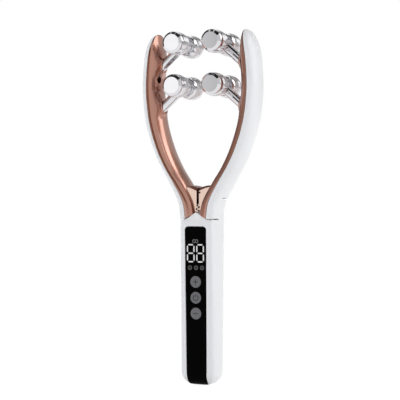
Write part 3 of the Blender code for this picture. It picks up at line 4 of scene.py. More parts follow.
import bpy
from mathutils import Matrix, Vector


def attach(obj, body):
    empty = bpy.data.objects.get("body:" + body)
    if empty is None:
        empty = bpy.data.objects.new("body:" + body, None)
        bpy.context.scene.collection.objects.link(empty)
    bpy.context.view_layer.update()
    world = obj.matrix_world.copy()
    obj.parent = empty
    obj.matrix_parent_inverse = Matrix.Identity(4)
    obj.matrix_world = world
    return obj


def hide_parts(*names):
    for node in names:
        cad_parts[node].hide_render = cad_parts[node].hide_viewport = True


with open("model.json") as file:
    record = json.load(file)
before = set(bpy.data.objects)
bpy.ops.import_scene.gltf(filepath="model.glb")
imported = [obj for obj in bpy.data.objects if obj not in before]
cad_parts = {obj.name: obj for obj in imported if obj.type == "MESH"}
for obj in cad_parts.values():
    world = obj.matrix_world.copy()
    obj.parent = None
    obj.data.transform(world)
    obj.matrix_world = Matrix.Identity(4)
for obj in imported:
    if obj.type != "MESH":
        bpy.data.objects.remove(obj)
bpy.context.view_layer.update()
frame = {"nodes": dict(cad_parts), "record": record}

# Camera: level with the middle of the device and turned to its right front, as in the photograph.
# It stands three quarters of a metre away with a long lens, so upright edges stay nearly parallel.
CAMERA_PLACE, CAMERA_TURN = (0.324845, -0.669339, 0.1103), math.radians(26)
bpy.ops.object.select_all(action='DESELECT')
bpy.ops.object.camera_add(location=CAMERA_PLACE, rotation=(math.radians(90), 0, CAMERA_TURN))
camera = bpy.context.object
camera.data.sensor_width = 36
camera.data.lens = 111.6
camera.data.clip_start = 0.01
bpy.context.scene.camera = camera
bpy.context.scene.view_settings.view_transform = 'Standard'

# Studio: a pale floor and a white backdrop from the world, which metal and gloss see as well.
# The world is plain and soft for the object's own colours, with cards of other levels for metal to mirror.
SKY_STRENGTH, MIRROR_STRENGTH = 0.55, 1.25
# Each card: its level, then in degrees its azimuths, its elevations and the width of its soft edge.
# Azimuth 0 is the device's front and 90 its right side. Where cards overlap, their levels multiply.
SKY_CARDS = (
    (0.58, -26.45, -15, 2, 60, 0.6), (0.58, -24, -15, -60, 2, 0.6), (0.58, -15, 81, -60, 60, 6),
    (0.12, -33, -18, -60, -1.3, 0.6), (0.25, -80, -28.4, -60, 60, 1), (0.25, -29.4, -26.45, 10, 60, 1),
    (0.03, -24, 3, 4, 27, 4), (0.03, 57, 67, 46, 84, 4), (2.0, 81, 142, 29, 42, 4), (1.6, 81, 142, 8, 29, 4),
    (0.2, 142, 181, 22, 60, 5), (0.48, 81, 142, -60, 8, 5), (0.40, 142, 181, -60, 22, 5),
    (0.45, -181, -134, 0, 30, 5), (0.02, -104, 140, 52, 84, 5), (0.03, -134, -98, -60, 55, 6),
    (0.05, -98, -80, 8, 50, 6), (1.03, -28.4, -26.45, 3, 10, 0.6))
SOFTBOXES = (("front_softbox", (-0.12, -0.95, 0.45), 0.5, 3.0),
             ("right_softbox", (0.85, 0.42, 0.14), 0.6, 5.5),
             ("left_softbox", (-0.85, 0.40, 0.14), 0.6, 6.0))
LAMP_TARGET = Vector((0, 0, 0.11))
FLOOR_SIZE, FLOOR_HEIGHT, FLOOR_WHITE = 6, -0.0004, 0.93


def linear(hex_colour):
    """Turns an sRGB hex colour to the linear values that a shader takes."""
    values = []
    for place in (0, 2, 4):
        value = int(hex_colour[place:place + 2], 16) / 255
        values.append(value / 12.92 if value <= 0.04045 else ((value + 0.055) / 1.055) ** 2.4)
    return (*values, 1)


def add_node(tree, kind, settings=None, links=None):
    """Adds a node with its settings and links."""
    node = tree.nodes.new(kind)
    for key, value in (settings or {}).items():
        if isinstance(key, str) and hasattr(node, key):
            setattr(node, key, value)
        else:
            node.inputs[key].default_value = value
    for socket, source in (links or {}).items():
        tree.links.new(source, node.inputs[socket])
    return node


def new_material(name, settings):
    """Makes a material whose shader has plain settings; gives it, its node tree and its shader."""
    material = bpy.data.materials.new(name)
    material.use_nodes = True
    shader = material.node_tree.nodes["Principled BSDF"]
    for socket, value in settings.items():
        shader.inputs[socket].default_value = value
    return material, material.node_tree, shader


world = bpy.data.worlds.new("studio")
bpy.context.scene.world = world
world.use_nodes = True
sky = world.node_tree
sky.nodes.clear()
direction = add_node(sky, "ShaderNodeTexCoord").outputs["Generated"]
split = add_node(sky, "ShaderNodeSeparateXYZ", links={0: direction})
to_front = add_node(sky, "ShaderNodeMath", {"operation": 'MULTIPLY', 1: -1.0}, {0: split.outputs["Y"]})
azimuth = add_node(sky, "ShaderNodeMath", {"operation": 'ARCTAN2'},
                   {0: split.outputs["X"], 1: to_front.outputs[0]})
elevation = add_node(sky, "ShaderNodeMath", {"operation": 'ARCSINE'}, {0: split.outputs["Z"]})


def sky_card(level, left, right, low, high, soft):
    """Gives what is taken off the mirrored sky between four angles in degrees to reach a level."""
    product = None
    for angle, near, far in ((azimuth, left, right), (elevation, low, high)):
        for edge, facing in ((near, 1), (far, -1)):
            start = math.radians(edge - facing * soft / 2)
            end = math.radians(edge + facing * soft / 2)
            ramp = add_node(sky, "ShaderNodeMapRange",
                            {"interpolation_type": 'SMOOTHSTEP', 1: start, 2: end, 3: 0.0, 4: 1.0},
                            {0: angle.outputs[0]})
            product = ramp if product is None else add_node(
                sky, "ShaderNodeMath", {"operation": 'MULTIPLY'}, {0: product.outputs[0], 1: ramp.outputs[0]})
    return add_node(sky, "ShaderNodeMath", {"operation": 'MULTIPLY', 1: 1.0 - level}, {0: product.outputs[0]})


mirrored = None
for card in SKY_CARDS:
    keep = add_node(sky, "ShaderNodeMath", {"operation": 'SUBTRACT', 0: 1.0}, {1: sky_card(*card).outputs[0]})
    mirrored = keep if mirrored is None else add_node(
        sky, "ShaderNodeMath", {"operation": 'MULTIPLY'}, {0: mirrored.outputs[0], 1: keep.outputs[0]})
light_path = add_node(sky, "ShaderNodeLightPath")
soft_sky = add_node(sky, "ShaderNodeBackground", {"Color": linear("f4f6fa"), "Strength": SKY_STRENGTH})
mirror_level = add_node(sky, "ShaderNodeMath", {"operation": 'MULTIPLY', 1: MIRROR_STRENGTH},
                        {0: mirrored.outputs[0]})
mirror_sky = add_node(sky, "ShaderNodeBackground", {"Color": (1, 1, 1, 1)},
                      {"Strength": mirror_level.outputs[0]})
white_sky = add_node(sky, "ShaderNodeBackground", {"Color": (1, 1, 1, 1), "Strength": 1.0})
for_metal = add_node(sky, "ShaderNodeMixShader", links={
    0: light_path.outputs["Is Glossy Ray"], 1: soft_sky.outputs[0], 2: mirror_sky.outputs[0]})
seen = add_node(sky, "ShaderNodeMath", {"operation": 'MAXIMUM'}, {
    0: light_path.outputs["Is Camera Ray"], 1: light_path.outputs["Is Transmission Ray"]})
all_sky = add_node(sky, "ShaderNodeMixShader", links={
    0: seen.outputs[0], 1: for_metal.outputs[0], 2: white_sky.outputs[0]})
add_node(sky, "ShaderNodeOutputWorld", links={0: all_sky.outputs[0]})

bpy.ops.mesh.primitive_plane_add(size=FLOOR_SIZE, location=(0, 0, FLOOR_HEIGHT))
floor = bpy.context.object
floor.name = "studio_floor"
# Matt white paint, rolled: it shows no gloss, only the object's soft shadow.
# The camera and mirrors see it mostly as plain white, as the backdrop is, with 7 % left for that shadow.
floor_paint, floor_tree, floor_shader = new_material("matt_white_floor", {
    "Base Color": linear("f2f2f2"), "Roughness": 0.9})
floor_glow = add_node(floor_tree, "ShaderNodeEmission", {"Color": (1, 1, 1, 1), "Strength": 1.05})
floor_path = add_node(floor_tree, "ShaderNodeLightPath")
floor_seen = add_node(floor_tree, "ShaderNodeMath", {"operation": 'MAXIMUM'}, {
    0: floor_path.outputs["Is Camera Ray"], 1: floor_path.outputs["Is Glossy Ray"]})
floor_part = add_node(floor_tree, "ShaderNodeMath", {"operation": 'MULTIPLY', 1: FLOOR_WHITE},
                      {0: floor_seen.outputs[0]})
floor_mix = add_node(floor_tree, "ShaderNodeMixShader", links={
    0: floor_part.outputs[0], 1: floor_shader.outputs[0], 2: floor_glow.outputs[0]})
floor_tree.links.new(floor_mix.outputs[0], floor_tree.nodes["Material Output"].inputs[0])
floor.data.materials.append(floor_paint)

for lamp_name, lamp_place, lamp_size, lamp_power in SOFTBOXES:
    bpy.ops.object.light_add(type='AREA', location=lamp_place)
    lamp = bpy.context.object
    lamp.name = lamp_name
    lamp.data.size = lamp_size
    lamp.data.energy = lamp_power
    lamp.visible_glossy = False
    lamp.rotation_euler = (LAMP_TARGET - Vector(lamp_place)).to_track_quat('-Z', 'Y').to_euler()

# Front and rear shell of the handle: injection-moulded ABS in gloss white, 1.8 mm thick, joined at the sides.
# The front shell ends in a pointed edge between the arms, and the panel lies in its recess.
HANDLE_HALF_WIDTH = 0.0112
FOOT_HALF_DEPTH, DEPTH_GROWTH = 0.0079, 0.0019
SHOULDER = 0.0985
CORNER, CORNER_POWER = 0.0046, 4.0
SHELL_WALL = 0.0018
PARTING_Y, SEAM = -0.0010, 0.00001
FOOT_RADIUS, FOOT_DEPTH, FOOT_TURN = 0.0085, 0.0064, math.radians(73.7)
FOOT_START = FOOT_RADIUS * math.sin(FOOT_TURN)
APEX, REAR_TOP = 0.1031, 0.1104
SLOPE_START, SLOPE_DEPTH, SLOPE_POWER, SLOPE_LIMIT = 0.0950, 0.0024, 1.4, 1.3
# Each shell is made a little too high and then cut to its upper edge.
SPARE_HEIGHT, ABOVE_FRONT, ABOVE_REAR = 0.001, 0.108, 0.118
FRONT_CUT, REAR_CUT = (-0.012, 0.002), (-0.004, 0.014)
SLOPING_EDGE = [(0.0012, 0.10238), (0.0028, 0.10130), (0.0045, 0.10020), (0.0063, 0.09915),
                (0.0082, SHOULDER)]
NOSE_MIDDLE, NOSE_SIZE = (0, -0.0079, 0.0994), (0.0132, 0.0024, 0.0074)
CUT_REACH = 2 * HANDLE_HALF_WIDTH
SHELL_GRID, LOFT_MERGE = (72, 120), 0.00001
# Shares of a shell's rows of points, from its top: where its upper part, its body and its foot end.
UPPER_SHARE, BODY_SHARE, FOOT_SHARE, CLOSING_SHARE = 0.2, 0.7, 0.98, 0.985
UPPER_END = SHOULDER - 0.006
CLOSING_WIDTH, CLOSING_DEPTH = 0.02, 0.5
# Share of a row's points, from either edge, that go round its corner.
CORNER_SHARE = 0.42
# The curve of the arms, which the shells follow above the shoulders: shares of their reach and length.
ARM_LENGTH, ARM_REACH, ARM_SHIFT = 0.1125, 0.0326, 0.0005
ARM_PATH = ((0.190, -0.02), (0.190, 0.0), (0.245, 0.094), (0.420, 0.190), (0.626, 0.286), (0.785, 0.382),
            (0.926, 0.510), (0.990, 0.638), (1.000, 0.733), (0.965, 0.862), (0.905, 0.956), (0.865, 1.0))


def arm_centre(z):
    """Sideways place of an arm's parting line at a height."""
    reach = (z - SHOULDER) / ARM_LENGTH
    index = 1
    while index < len(ARM_PATH) - 3 and reach > ARM_PATH[index + 1][1]:
        index += 1
    (x0, z0), (x1, z1), (x2, z2), (x3, z3) = ARM_PATH[index - 1:index + 3]
    t = (reach - z1) / (z2 - z1)
    slope1 = (x2 - x0) / (z2 - z0) * (z2 - z1)
    slope2 = (x3 - x1) / (z3 - z1) * (z2 - z1)
    value = ((2 * t ** 3 - 3 * t ** 2 + 1) * x1 + (t ** 3 - 2 * t ** 2 + t) * slope1
             + (3 * t ** 2 - 2 * t ** 3) * x2 + (t ** 3 - t ** 2) * slope2)
    return value * ARM_REACH + ARM_SHIFT


def half_depth(z):
    """Distance from the centre plane to the flat front or back of the handle."""
    return FOOT_HALF_DEPTH + DEPTH_GROWTH * min(max(z / SHOULDER, 0), 1)


def rounded(width, depth, angle, power):
    """A point of a rounded quarter at an angle from 0, its side, to 90 degrees, its front."""
    return (width * max(math.cos(angle), 0) ** (2 / power), depth * max(math.sin(angle), 0) ** (2 / power))


def select_only(piece):
    """Selects one piece and nothing else."""
    bpy.ops.object.select_all(action='DESELECT')
    piece.select_set(True)
    bpy.context.view_layer.objects.active = piece


def placed(name, data):
    """Puts a mesh or a curve into the scene as a piece, and selects it."""
    piece = bpy.data.objects.new(name, data)
    bpy.context.scene.collection.objects.link(piece)
    select_only(piece)
    return piece


def merge_and_turn_out(distance):
    """Merges the double points of the piece at hand and turns its faces outwards."""
    bpy.ops.object.mode_set(mode='EDIT')
    bpy.ops.mesh.select_all(action='SELECT')
    bpy.ops.mesh.remove_doubles(threshold=distance)
    bpy.ops.mesh.normals_make_consistent(inside=False)
    bpy.ops.object.mode_set(mode='OBJECT')


def lofted(name, grid, place):
    """A grid primitive whose points are put in place from their two shares, from 0 to 1."""
    bpy.ops.mesh.primitive_grid_add(x_subdivisions=grid[0], y_subdivisions=grid[1], size=1)
    piece = bpy.context.object
    piece.name = name
    for point in piece.data.vertices:
        point.co = place(point.co.x + 0.5, point.co.y + 0.5)
    merge_and_turn_out(LOFT_MERGE)
    # An open shell can come out inside out, so its faces are turned away from its own middle.
    faces = piece.data.polygons
    middle = sum((face.center for face in faces), Vector()) / len(faces)
    if sum((face.center - middle).dot(face.normal) * face.area for face in faces) < 0:
        piece.data.flip_normals()
    return piece


def apply_modifier(piece, kind, **settings):
    """Adds a modifier with its settings and applies it."""
    select_only(piece)
    modifier = piece.modifiers.new(kind.lower(), kind)
    for key, value in settings.items():
        setattr(modifier, key, value)
    bpy.ops.object.modifier_apply(modifier=modifier.name)


def cut_with(piece, tool, operation='DIFFERENCE'):
    """Cuts a tool from the piece, or joins it on, and removes the tool."""
    apply_modifier(piece, 'BOOLEAN', object=tool, operation=operation, solver='EXACT')
    bpy.data.objects.remove(tool)


def plate(name, outline, near_y, far_y):
    """An upright plate with an outline in XZ, made as one face and extruded in depth."""
    mesh = bpy.data.meshes.new(name)
    mesh.from_pydata([(x, near_y, z) for x, z in outline], [], [tuple(range(len(outline)))])
    piece = placed(name, mesh)
    bpy.ops.object.mode_set(mode='EDIT')
    bpy.ops.mesh.select_all(action='SELECT')
    bpy.ops.mesh.extrude_region_move(TRANSFORM_OT_translate={"value": (0, far_y - near_y, 0)})
    bpy.ops.mesh.select_all(action='SELECT')
    bpy.ops.mesh.normals_make_consistent(inside=False)
    bpy.ops.object.mode_set(mode='OBJECT')
    return piece


def finish_piece(piece, material, body, nodes, angle=35):
    """Shades a piece, gives it its material, hangs it on its body, and hides the CAD nodes that it replaces.
    """
    select_only(piece)
    bpy.ops.object.transform_apply(location=True, rotation=True, scale=True)
    bpy.ops.object.shade_smooth_by_angle(angle=math.radians(angle))
    apply_modifier(piece, 'WEIGHTED_NORMAL', keep_sharp=True)
    piece.data.materials.clear()
    piece.data.materials.append(material)
    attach(piece, body)
    if nodes:
        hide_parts(*nodes)


def handle_point(z, narrowing, depth, facing, across):
    """A point on a shell of the handle; across runs from 0, its right edge, to 1, its left edge."""
    half_width = HANDLE_HALF_WIDTH - narrowing
    if z > SHOULDER:
        half_width = max(arm_centre(z) - ARM_SHIFT + CORNER, HANDLE_HALF_WIDTH)
    corner = CORNER * min(half_width / HANDLE_HALF_WIDTH, 1)
    side = 1 if across <= 0.5 else -1
    inward = min(across, 1 - across)
    reach = depth - facing * PARTING_Y
    if inward <= CORNER_SHARE:
        x, y = rounded(corner, reach, inward / CORNER_SHARE * math.pi / 2, CORNER_POWER)
        x += half_width - corner
    else:
        x, y = (half_width - corner) * (0.5 - inward) / (0.5 - CORNER_SHARE), reach
    return Vector((side * x, PARTING_Y + facing * SEAM / 2 + facing * y, z))


def shell_place(facing, top):
    """Gives the place of every point of a shell, from its top down round its foot."""
    def place(u, v):
        down = 1 - v
        if down < UPPER_SHARE:
            z = top + (UPPER_END - top) * down / UPPER_SHARE
            depth = half_depth(z)
            if facing < 0:
                rise = min(max((z - SLOPE_START) / (APEX - SLOPE_START), 0), SLOPE_LIMIT)
                depth -= SLOPE_DEPTH * rise ** SLOPE_POWER
            return handle_point(z, 0, depth, facing, u)
        if down < BODY_SHARE:
            z = UPPER_END + (FOOT_START - UPPER_END) * (down - UPPER_SHARE) / (BODY_SHARE - UPPER_SHARE)
            return handle_point(z, 0, half_depth(z), facing, u)
        turn = FOOT_TURN * min((down - BODY_SHARE) / (FOOT_SHARE - BODY_SHARE), 1)
        z = FOOT_RADIUS * (math.sin(FOOT_TURN) - math.sin(turn))
        narrowing = FOOT_RADIUS * (1 - math.cos(turn))
        depth = half_depth(FOOT_START) - FOOT_DEPTH * (1 - math.cos(turn))
        point = handle_point(z, narrowing, depth, facing, u)
        if down > CLOSING_SHARE:
            point = Vector((point.x * CLOSING_WIDTH, PARTING_Y + (point.y - PARTING_Y) * CLOSING_DEPTH, z))
        return point
    return place


def edge_line(gap):
    """Upper edge of the front shell from left to right: flat shoulders and a pointed middle."""
    left_half = [(-CUT_REACH, SHOULDER)] + [(-x, z) for x, z in reversed(SLOPING_EDGE)]
    line = left_half + [(0, APEX)] + SLOPING_EDGE + [(CUT_REACH, SHOULDER)]
    return [(x, z + gap) for x, z in line]


# Gloss white ABS straight from a polished mould: clean and nearly even, with a soft broad shine.
# The flow of the melt varies the gloss in clouds 11 mm wide, and ripples 1.1 mm wide stir it faintly.
white_abs, tree, shader = new_material("moulded_gloss_white_abs", {
    "Base Color": linear("ededee"), "IOR": 1.53, "Specular IOR Level": 0.4})
coordinates = add_node(tree, "ShaderNodeTexCoord").outputs["Object"]
flow = add_node(tree, "ShaderNodeTexNoise", {"Scale": 90.0, "Detail": 3.0}, {"Vector": coordinates})
gloss = add_node(tree, "ShaderNodeMapRange", {3: 0.26, 4: 0.36}, {0: flow.outputs["Fac"]})
tree.links.new(gloss.outputs[0], shader.inputs["Roughness"])
ripple = add_node(tree, "ShaderNodeTexNoise", {"Scale": 900.0, "Detail": 1.0}, {"Vector": coordinates})
bump = add_node(tree, "ShaderNodeBump", {"Strength": 0.03, "Distance": 0.00005},
                {"Height": ripple.outputs["Fac"]})
tree.links.new(bump.outputs["Normal"], shader.inputs["Normal"])

front_shell = lofted("front_shell", SHELL_GRID, shell_place(-1, APEX + SPARE_HEIGHT))
apply_modifier(front_shell, 'SOLIDIFY', thickness=SHELL_WALL, offset=-1)
# A block behind the pointed edge makes it solid.
bpy.ops.mesh.primitive_cube_add(size=1, location=NOSE_MIDDLE, scale=NOSE_SIZE)
cut_with(front_shell, bpy.context.object, 'UNION')
above = [(CUT_REACH, ABOVE_FRONT), (-CUT_REACH, ABOVE_FRONT)]
cut_with(front_shell, plate("upper_edge", edge_line(0) + above, *FRONT_CUT))
rear_shell = lofted("rear_shell", SHELL_GRID, shell_place(1, REAR_TOP + SPARE_HEIGHT))
apply_modifier(rear_shell, 'SOLIDIFY', thickness=SHELL_WALL, offset=-1)
above = ((-CUT_REACH, REAR_TOP), (CUT_REACH, REAR_TOP), (CUT_REACH, ABOVE_REAR), (-CUT_REACH, ABOVE_REAR))
cut_with(rear_shell, plate("upper_edge", above, *REAR_CUT))

# Display panel: one strip of black tinted acrylic, 0.9 mm thick, glued into its recess down to the foot.
# Its printed back makes it near black, and its edge shows a fine gap to the white shell.
PANEL_TOP, PANEL_ROUNDING = 0.0944, 0.0020
PANEL_WALL, PANEL_LIFT = 0.0009, 0.0001
PANEL_WIDTH, PANEL_WIDENING, PANEL_MARGIN = 0.0127, 0.0009, 0.0010
PANEL_TURN, PANEL_GRID = math.radians(64), (28, 90)
RECESS_GAP, RECESS_LIFT, RECESS_DEPTH = 0.0002, 0.0010, 0.0022
# Shares of the panel's rows of points, from its top: where its rounded end and its flat part end.
END_SHARE, FLAT_SHARE = 0.12, 0.7


def panel_place(grow, lift):
    """Gives the place of every point of the panel's face, from its top down round the foot."""
    def place(u, v):
        down = 1 - v
        turn = 0
        inset = 0
        if down < END_SHARE:
            angle = math.pi / 2 * down / END_SHARE
            z = PANEL_TOP + grow - (PANEL_ROUNDING + grow) * (1 - math.cos(angle))
            inset = (PANEL_ROUNDING + grow) * (1 - math.sin(angle))
        elif down < FLAT_SHARE:
            top = PANEL_TOP - PANEL_ROUNDING
            z = top + (FOOT_START - top) * (down - END_SHARE) / (FLAT_SHARE - END_SHARE)
        else:
            turn = (PANEL_TURN + grow / FOOT_RADIUS) * (down - FLAT_SHARE) / (1 - FLAT_SHARE)
            z = FOOT_RADIUS * (math.sin(FOOT_TURN) - math.sin(turn))
        narrowing = FOOT_RADIUS * (1 - math.cos(turn))
        depth = half_depth(z) if turn == 0 else half_depth(FOOT_START) - FOOT_DEPTH * (1 - math.cos(turn))
        width = (PANEL_WIDTH + PANEL_WIDENING * min(z / PANEL_TOP, 1)) / 2
        side = min(width + grow, HANDLE_HALF_WIDTH - narrowing - PANEL_MARGIN + grow) - inset
        x = side * (2 * u - 1)
        corner = CORNER * (1 - narrowing / HANDLE_HALF_WIDTH)
        beyond = max(abs(x) - (HANDLE_HALF_WIDTH - narrowing - corner), 0) / corner
        y = PARTING_Y - (depth + PARTING_Y) * (1 - beyond ** CORNER_POWER) ** (1 / CORNER_POWER)
        lean = math.atan2(FOOT_DEPTH * math.sin(turn), FOOT_RADIUS * math.cos(turn))
        return Vector((x, y, z)) + Vector((0, -math.cos(lean), -math.sin(lean))) * lift
    return place


def panel_solid(name, grow, lift, thickness):
    """The panel's face given its thickness."""
    piece = lofted(name, PANEL_GRID, panel_place(grow, lift))
    # Its thickness goes to the back, so its face has to point to the front.
    if piece.data.polygons[len(piece.data.polygons) // 2].normal.y > 0:
        piece.data.flip_normals()
    apply_modifier(piece, 'SOLIDIFY', thickness=thickness, offset=-1)
    return piece


def mottled(tree, socket, dark, light, scale, detail=2.0):
    """Lets a socket's colour waver between two near shades; gives the pattern that does it."""
    pattern = add_node(tree, "ShaderNodeTexNoise", {"Scale": scale, "Detail": detail},
                       {"Vector": add_node(tree, "ShaderNodeTexCoord").outputs["Object"]})
    shades = add_node(tree, "ShaderNodeMix", {"data_type": 'RGBA', 6: linear(dark), 7: linear(light)},
                      {0: pattern.outputs["Fac"]})
    tree.links.new(shades.outputs[2], socket)
    return pattern


cut_with(front_shell, panel_solid("panel_recess", RECESS_GAP, RECESS_LIFT, RECESS_DEPTH))
display_panel = panel_solid("acrylic_panel", 0, PANEL_LIFT, PANEL_WALL)
# Cast acrylic, tinted and printed black on its back: deep black and mirror smooth.
# The print is a little uneven, in faint warm clouds 17 mm wide.
black_acrylic, tree, shader = new_material("black_tinted_acrylic", {
    "Roughness": 0.06, "IOR": 1.49, "Specular IOR Level": 0.02})
mottled(tree, shader.inputs["Base Color"], "010101", "040303", 60.0)

# Three push buttons: round caps of satin grey ABS with a small rim, and a printed sign on each.
# Each sits in its own hole in the panel and the shell and presses a switch on the main board.
BUTTONS = (("minus", 0.0429), ("power", 0.0523), ("plus", 0.0617))
BUTTON_RADIUS, BUTTON_GAP, BUTTON_LENGTH, BUTTON_SINK = 0.00345, 0.00018, 0.0022, 0.0009
HOLE_LENGTH = 0.012
FRONT_NORMAL = -0.9
# The insets that make the cap's rim: the width and the rise of each.
CAP_STEPS = ((0.00025, 0.00008), (0.0006, 0.00002))
SIGN_FRONT, SIGN_BACK, STROKE, SIGN_REACH = 0.00032, 0.00005, 0.00025, 0.0015
ARC_OUTER, ARC_INNER, BAR_LOW, BAR_HIGH = 0.0019, 0.0014, 0.0004, 0.0021
# The power sign's arc is open at its top: from and to what angle in degrees it runs, and its steps.
ARC_SPAN = (125, 415, 32)

# Satin grey ABS with a spark grain from its mould, so it looks soft and dry.
# The real grain is too fine to show, so it is drawn 0.4 mm wide.
grey_button, tree, shader = new_material("satin_grey_button_plastic", {
    "Roughness": 0.5, "Specular IOR Level": 0.3})
mottled(tree, shader.inputs["Base Color"], "676768", "747475", 2500.0)
# Dark pad-print ink: matt, and a little thin in specks, drawn half a millimetre wide so that they show.
sign_print, tree, shader = new_material("dark_pad_print", {"Roughness": 0.6})
mottled(tree, shader.inputs["Base Color"], "242426", "2c2c2e", 1800.0)


def box_between(name, low, high):
    """A block between two corners."""
    middle = [(a + b) / 2 for a, b in zip(low, high)]
    bpy.ops.mesh.primitive_cube_add(size=1, location=middle, scale=[b - a for a, b in zip(low, high)])
    piece = bpy.context.object
    piece.name = name
    bpy.ops.object.transform_apply(location=True, rotation=True, scale=True)
    return piece


def front_cylinder(name, radius, length, middle, sides=64):
    """A cylinder that faces the front."""
    bpy.ops.mesh.primitive_cylinder_add(vertices=sides, radius=radius, depth=length, location=middle,
                                        rotation=(math.radians(90), 0, 0))
    bpy.context.object.name = name
    return bpy.context.object


def inset_faces(piece, chosen, steps, one_by_one=False):
    """Insets the faces that are chosen, once for each step of width and height."""
    select_only(piece)
    bpy.ops.object.mode_set(mode='EDIT')
    bpy.ops.mesh.select_mode(type='FACE')
    bpy.ops.mesh.select_all(action='DESELECT')
    bpy.ops.object.mode_set(mode='OBJECT')
    for polygon in piece.data.polygons:
        polygon.select = chosen(polygon)
    bpy.ops.object.mode_set(mode='EDIT')
    for width, height in steps:
        bpy.ops.mesh.inset(thickness=width, depth=height, use_individual=one_by_one)
    bpy.ops.mesh.select_mode(type='VERT')
    bpy.ops.object.mode_set(mode='OBJECT')


def ring(name, centre, outer, inner, near_y, far_y, start=0, end=360, steps=40):
    """A flat ring or part of a ring that faces the front."""
    angles = [math.radians(start + (end - start) * step / steps) for step in range(steps + 1)]
    loop = [(centre[0] + outer * math.cos(a), centre[1] + outer * math.sin(a)) for a in angles]
    loop += [(centre[0] + inner * math.cos(a), centre[1] + inner * math.sin(a)) for a in reversed(angles)]
    return plate(name, loop, near_y, far_y)


def joined(name, parts):
    """Joins parts to one piece."""
    bpy.ops.object.select_all(action='DESELECT')
    for part in parts:
        part.select_set(True)
    bpy.context.view_layer.objects.active = parts[0]
    bpy.ops.object.join()
    parts[0].name = name
    return parts[0]


for button_name, button_z in BUTTONS:
    face = -half_depth(button_z)
    for holed in (front_shell, display_panel):
        cut_with(holed, front_cylinder("hole", BUTTON_RADIUS + BUTTON_GAP, HOLE_LENGTH, (0, face, button_z)))
    cap = front_cylinder(button_name + "_button_cap", BUTTON_RADIUS, BUTTON_LENGTH,
                         (0, face + BUTTON_SINK, button_z))
    bpy.ops.object.transform_apply(location=True, rotation=True, scale=True)
    inset_faces(cap, lambda polygon: polygon.normal.y < FRONT_NORMAL, CAP_STEPS)
    finish_piece(cap, grey_button, button_name + "_button", [button_name + "_button"])
    near, far = face - SIGN_FRONT, face - SIGN_BACK
    if button_name == "power":
        parts = [ring("arc", (0, button_z), ARC_OUTER, ARC_INNER, near, far, *ARC_SPAN),
                 box_between("bar", (-STROKE, near, button_z + BAR_LOW), (STROKE, far, button_z + BAR_HIGH))]
    else:
        parts = [box_between("bar", (-SIGN_REACH, near, button_z - STROKE),
                             (SIGN_REACH, far, button_z + STROKE))]
        if button_name == "plus":
            parts.append(box_between("upright", (-STROKE, near, button_z - SIGN_REACH),
                                     (STROKE, far, button_z + SIGN_REACH)))
    sign = joined(button_name + "_button_sign", parts)
    finish_piece(sign, sign_print, button_name + "_button", [])

# Shoulder lips: low ribs moulded inside the front shell, behind the gaps that the arms swing in.
# They keep those gaps from looking into the handle. With them the front shell is whole: its sharp edges
# get the small rounding that a mould gives them, apart from the one that closes against the rear shell.
LIP_FOOT, LIP_TOP = SHOULDER - 0.0030, SHOULDER + 0.0007
# Each lip: its two distances to the side, its front and its back.
LIPS = ((0.0068, 0.0084, -0.0082, -0.0074), (0.0079, 0.0090, -0.0060, -0.0014))
FRONT_ROUNDING, REAR_ROUNDING = 0.00035, 0.00010
EDGE_MERGE, SHARPNESS, PARTING_ZONE = 0.00002, math.radians(50), 0.0004


def round_edges(piece, width):
    """Rounds a shell's sharp edges, apart from its parting edge and the lowest part of its foot."""
    select_only(piece)
    bpy.ops.object.mode_set(mode='EDIT')
    bpy.ops.mesh.select_mode(type='EDGE')
    bpy.ops.mesh.select_all(action='SELECT')
    bpy.ops.mesh.remove_doubles(threshold=EDGE_MERGE)
    bpy.ops.mesh.dissolve_degenerate(threshold=EDGE_MERGE)
    bpy.ops.mesh.select_all(action='DESELECT')
    bpy.ops.mesh.edges_select_sharp(sharpness=SHARPNESS)
    bpy.ops.object.mode_set(mode='OBJECT')
    points = piece.data.vertices
    for edge in piece.data.edges:
        ends = [points[index].co for index in edge.vertices]
        at_parting = min(abs(end.y - PARTING_Y) for end in ends) < PARTING_ZONE
        if at_parting or min(end.z for end in ends) < FOOT_START:
            edge.select = False
    bpy.ops.object.mode_set(mode='EDIT')
    bpy.ops.mesh.bevel(offset=width, segments=3)
    bpy.ops.mesh.select_mode(type='VERT')
    bpy.ops.object.mode_set(mode='OBJECT')


for side in (-1, 1):
    for near_x, far_x, front_y, back_y in LIPS:
        low_x, high_x = sorted((side * near_x, side * far_x))
        lip = box_between("shoulder_lip", (low_x, front_y, LIP_FOOT), (high_x, back_y, LIP_TOP))
        cut_with(front_shell, lip, 'UNION')
round_edges(front_shell, FRONT_ROUNDING)
finish_piece(front_shell, white_abs, "handle", ["front_housing"])
finish_piece(display_panel, black_acrylic, "handle", ["display_panel"])

# Lit signs behind the panel: two seven-bar digits, a row of three mode lamps and one lamp above.
# They are light guides under the tinted acrylic, so they look flat and a little uneven.
DIGIT_PLACES, BAR_WIDTH = (-0.00310, 0.00310), 0.00078
LYING_BAR, STANDING_BAR = 0.0034, 0.0039
# The bars of a digit: their height, whether they stand, and their places to the side.
DIGIT_BARS = ((0.08375, False, (0,)), (0.0787, False, (0,)), (0.07365, False, (0,)),
              (0.08125, True, (-0.00215, 0.00215)), (0.07615, True, (-0.00215, 0.00215)))
SIGN_LIFT, SIGN_RELIEF = 0.0001, 0.00004
MODE_LAMPS, MODE_HEIGHT, MODE_OUTER, MODE_INNER = (-0.0037, 0.0003, 0.0043), 0.0701, 0.00125, 0.00095
MARK_HALF_WIDTH, MARK_LOW, MARK_HIGH = 0.0002, 0.0005, 0.0003
UPPER_LAMP_X, UPPER_LAMP_HEIGHT, UPPER_OUTER, UPPER_INNER = (-0.0008, 0.0008), 0.0859, 0.0011, 0.0007
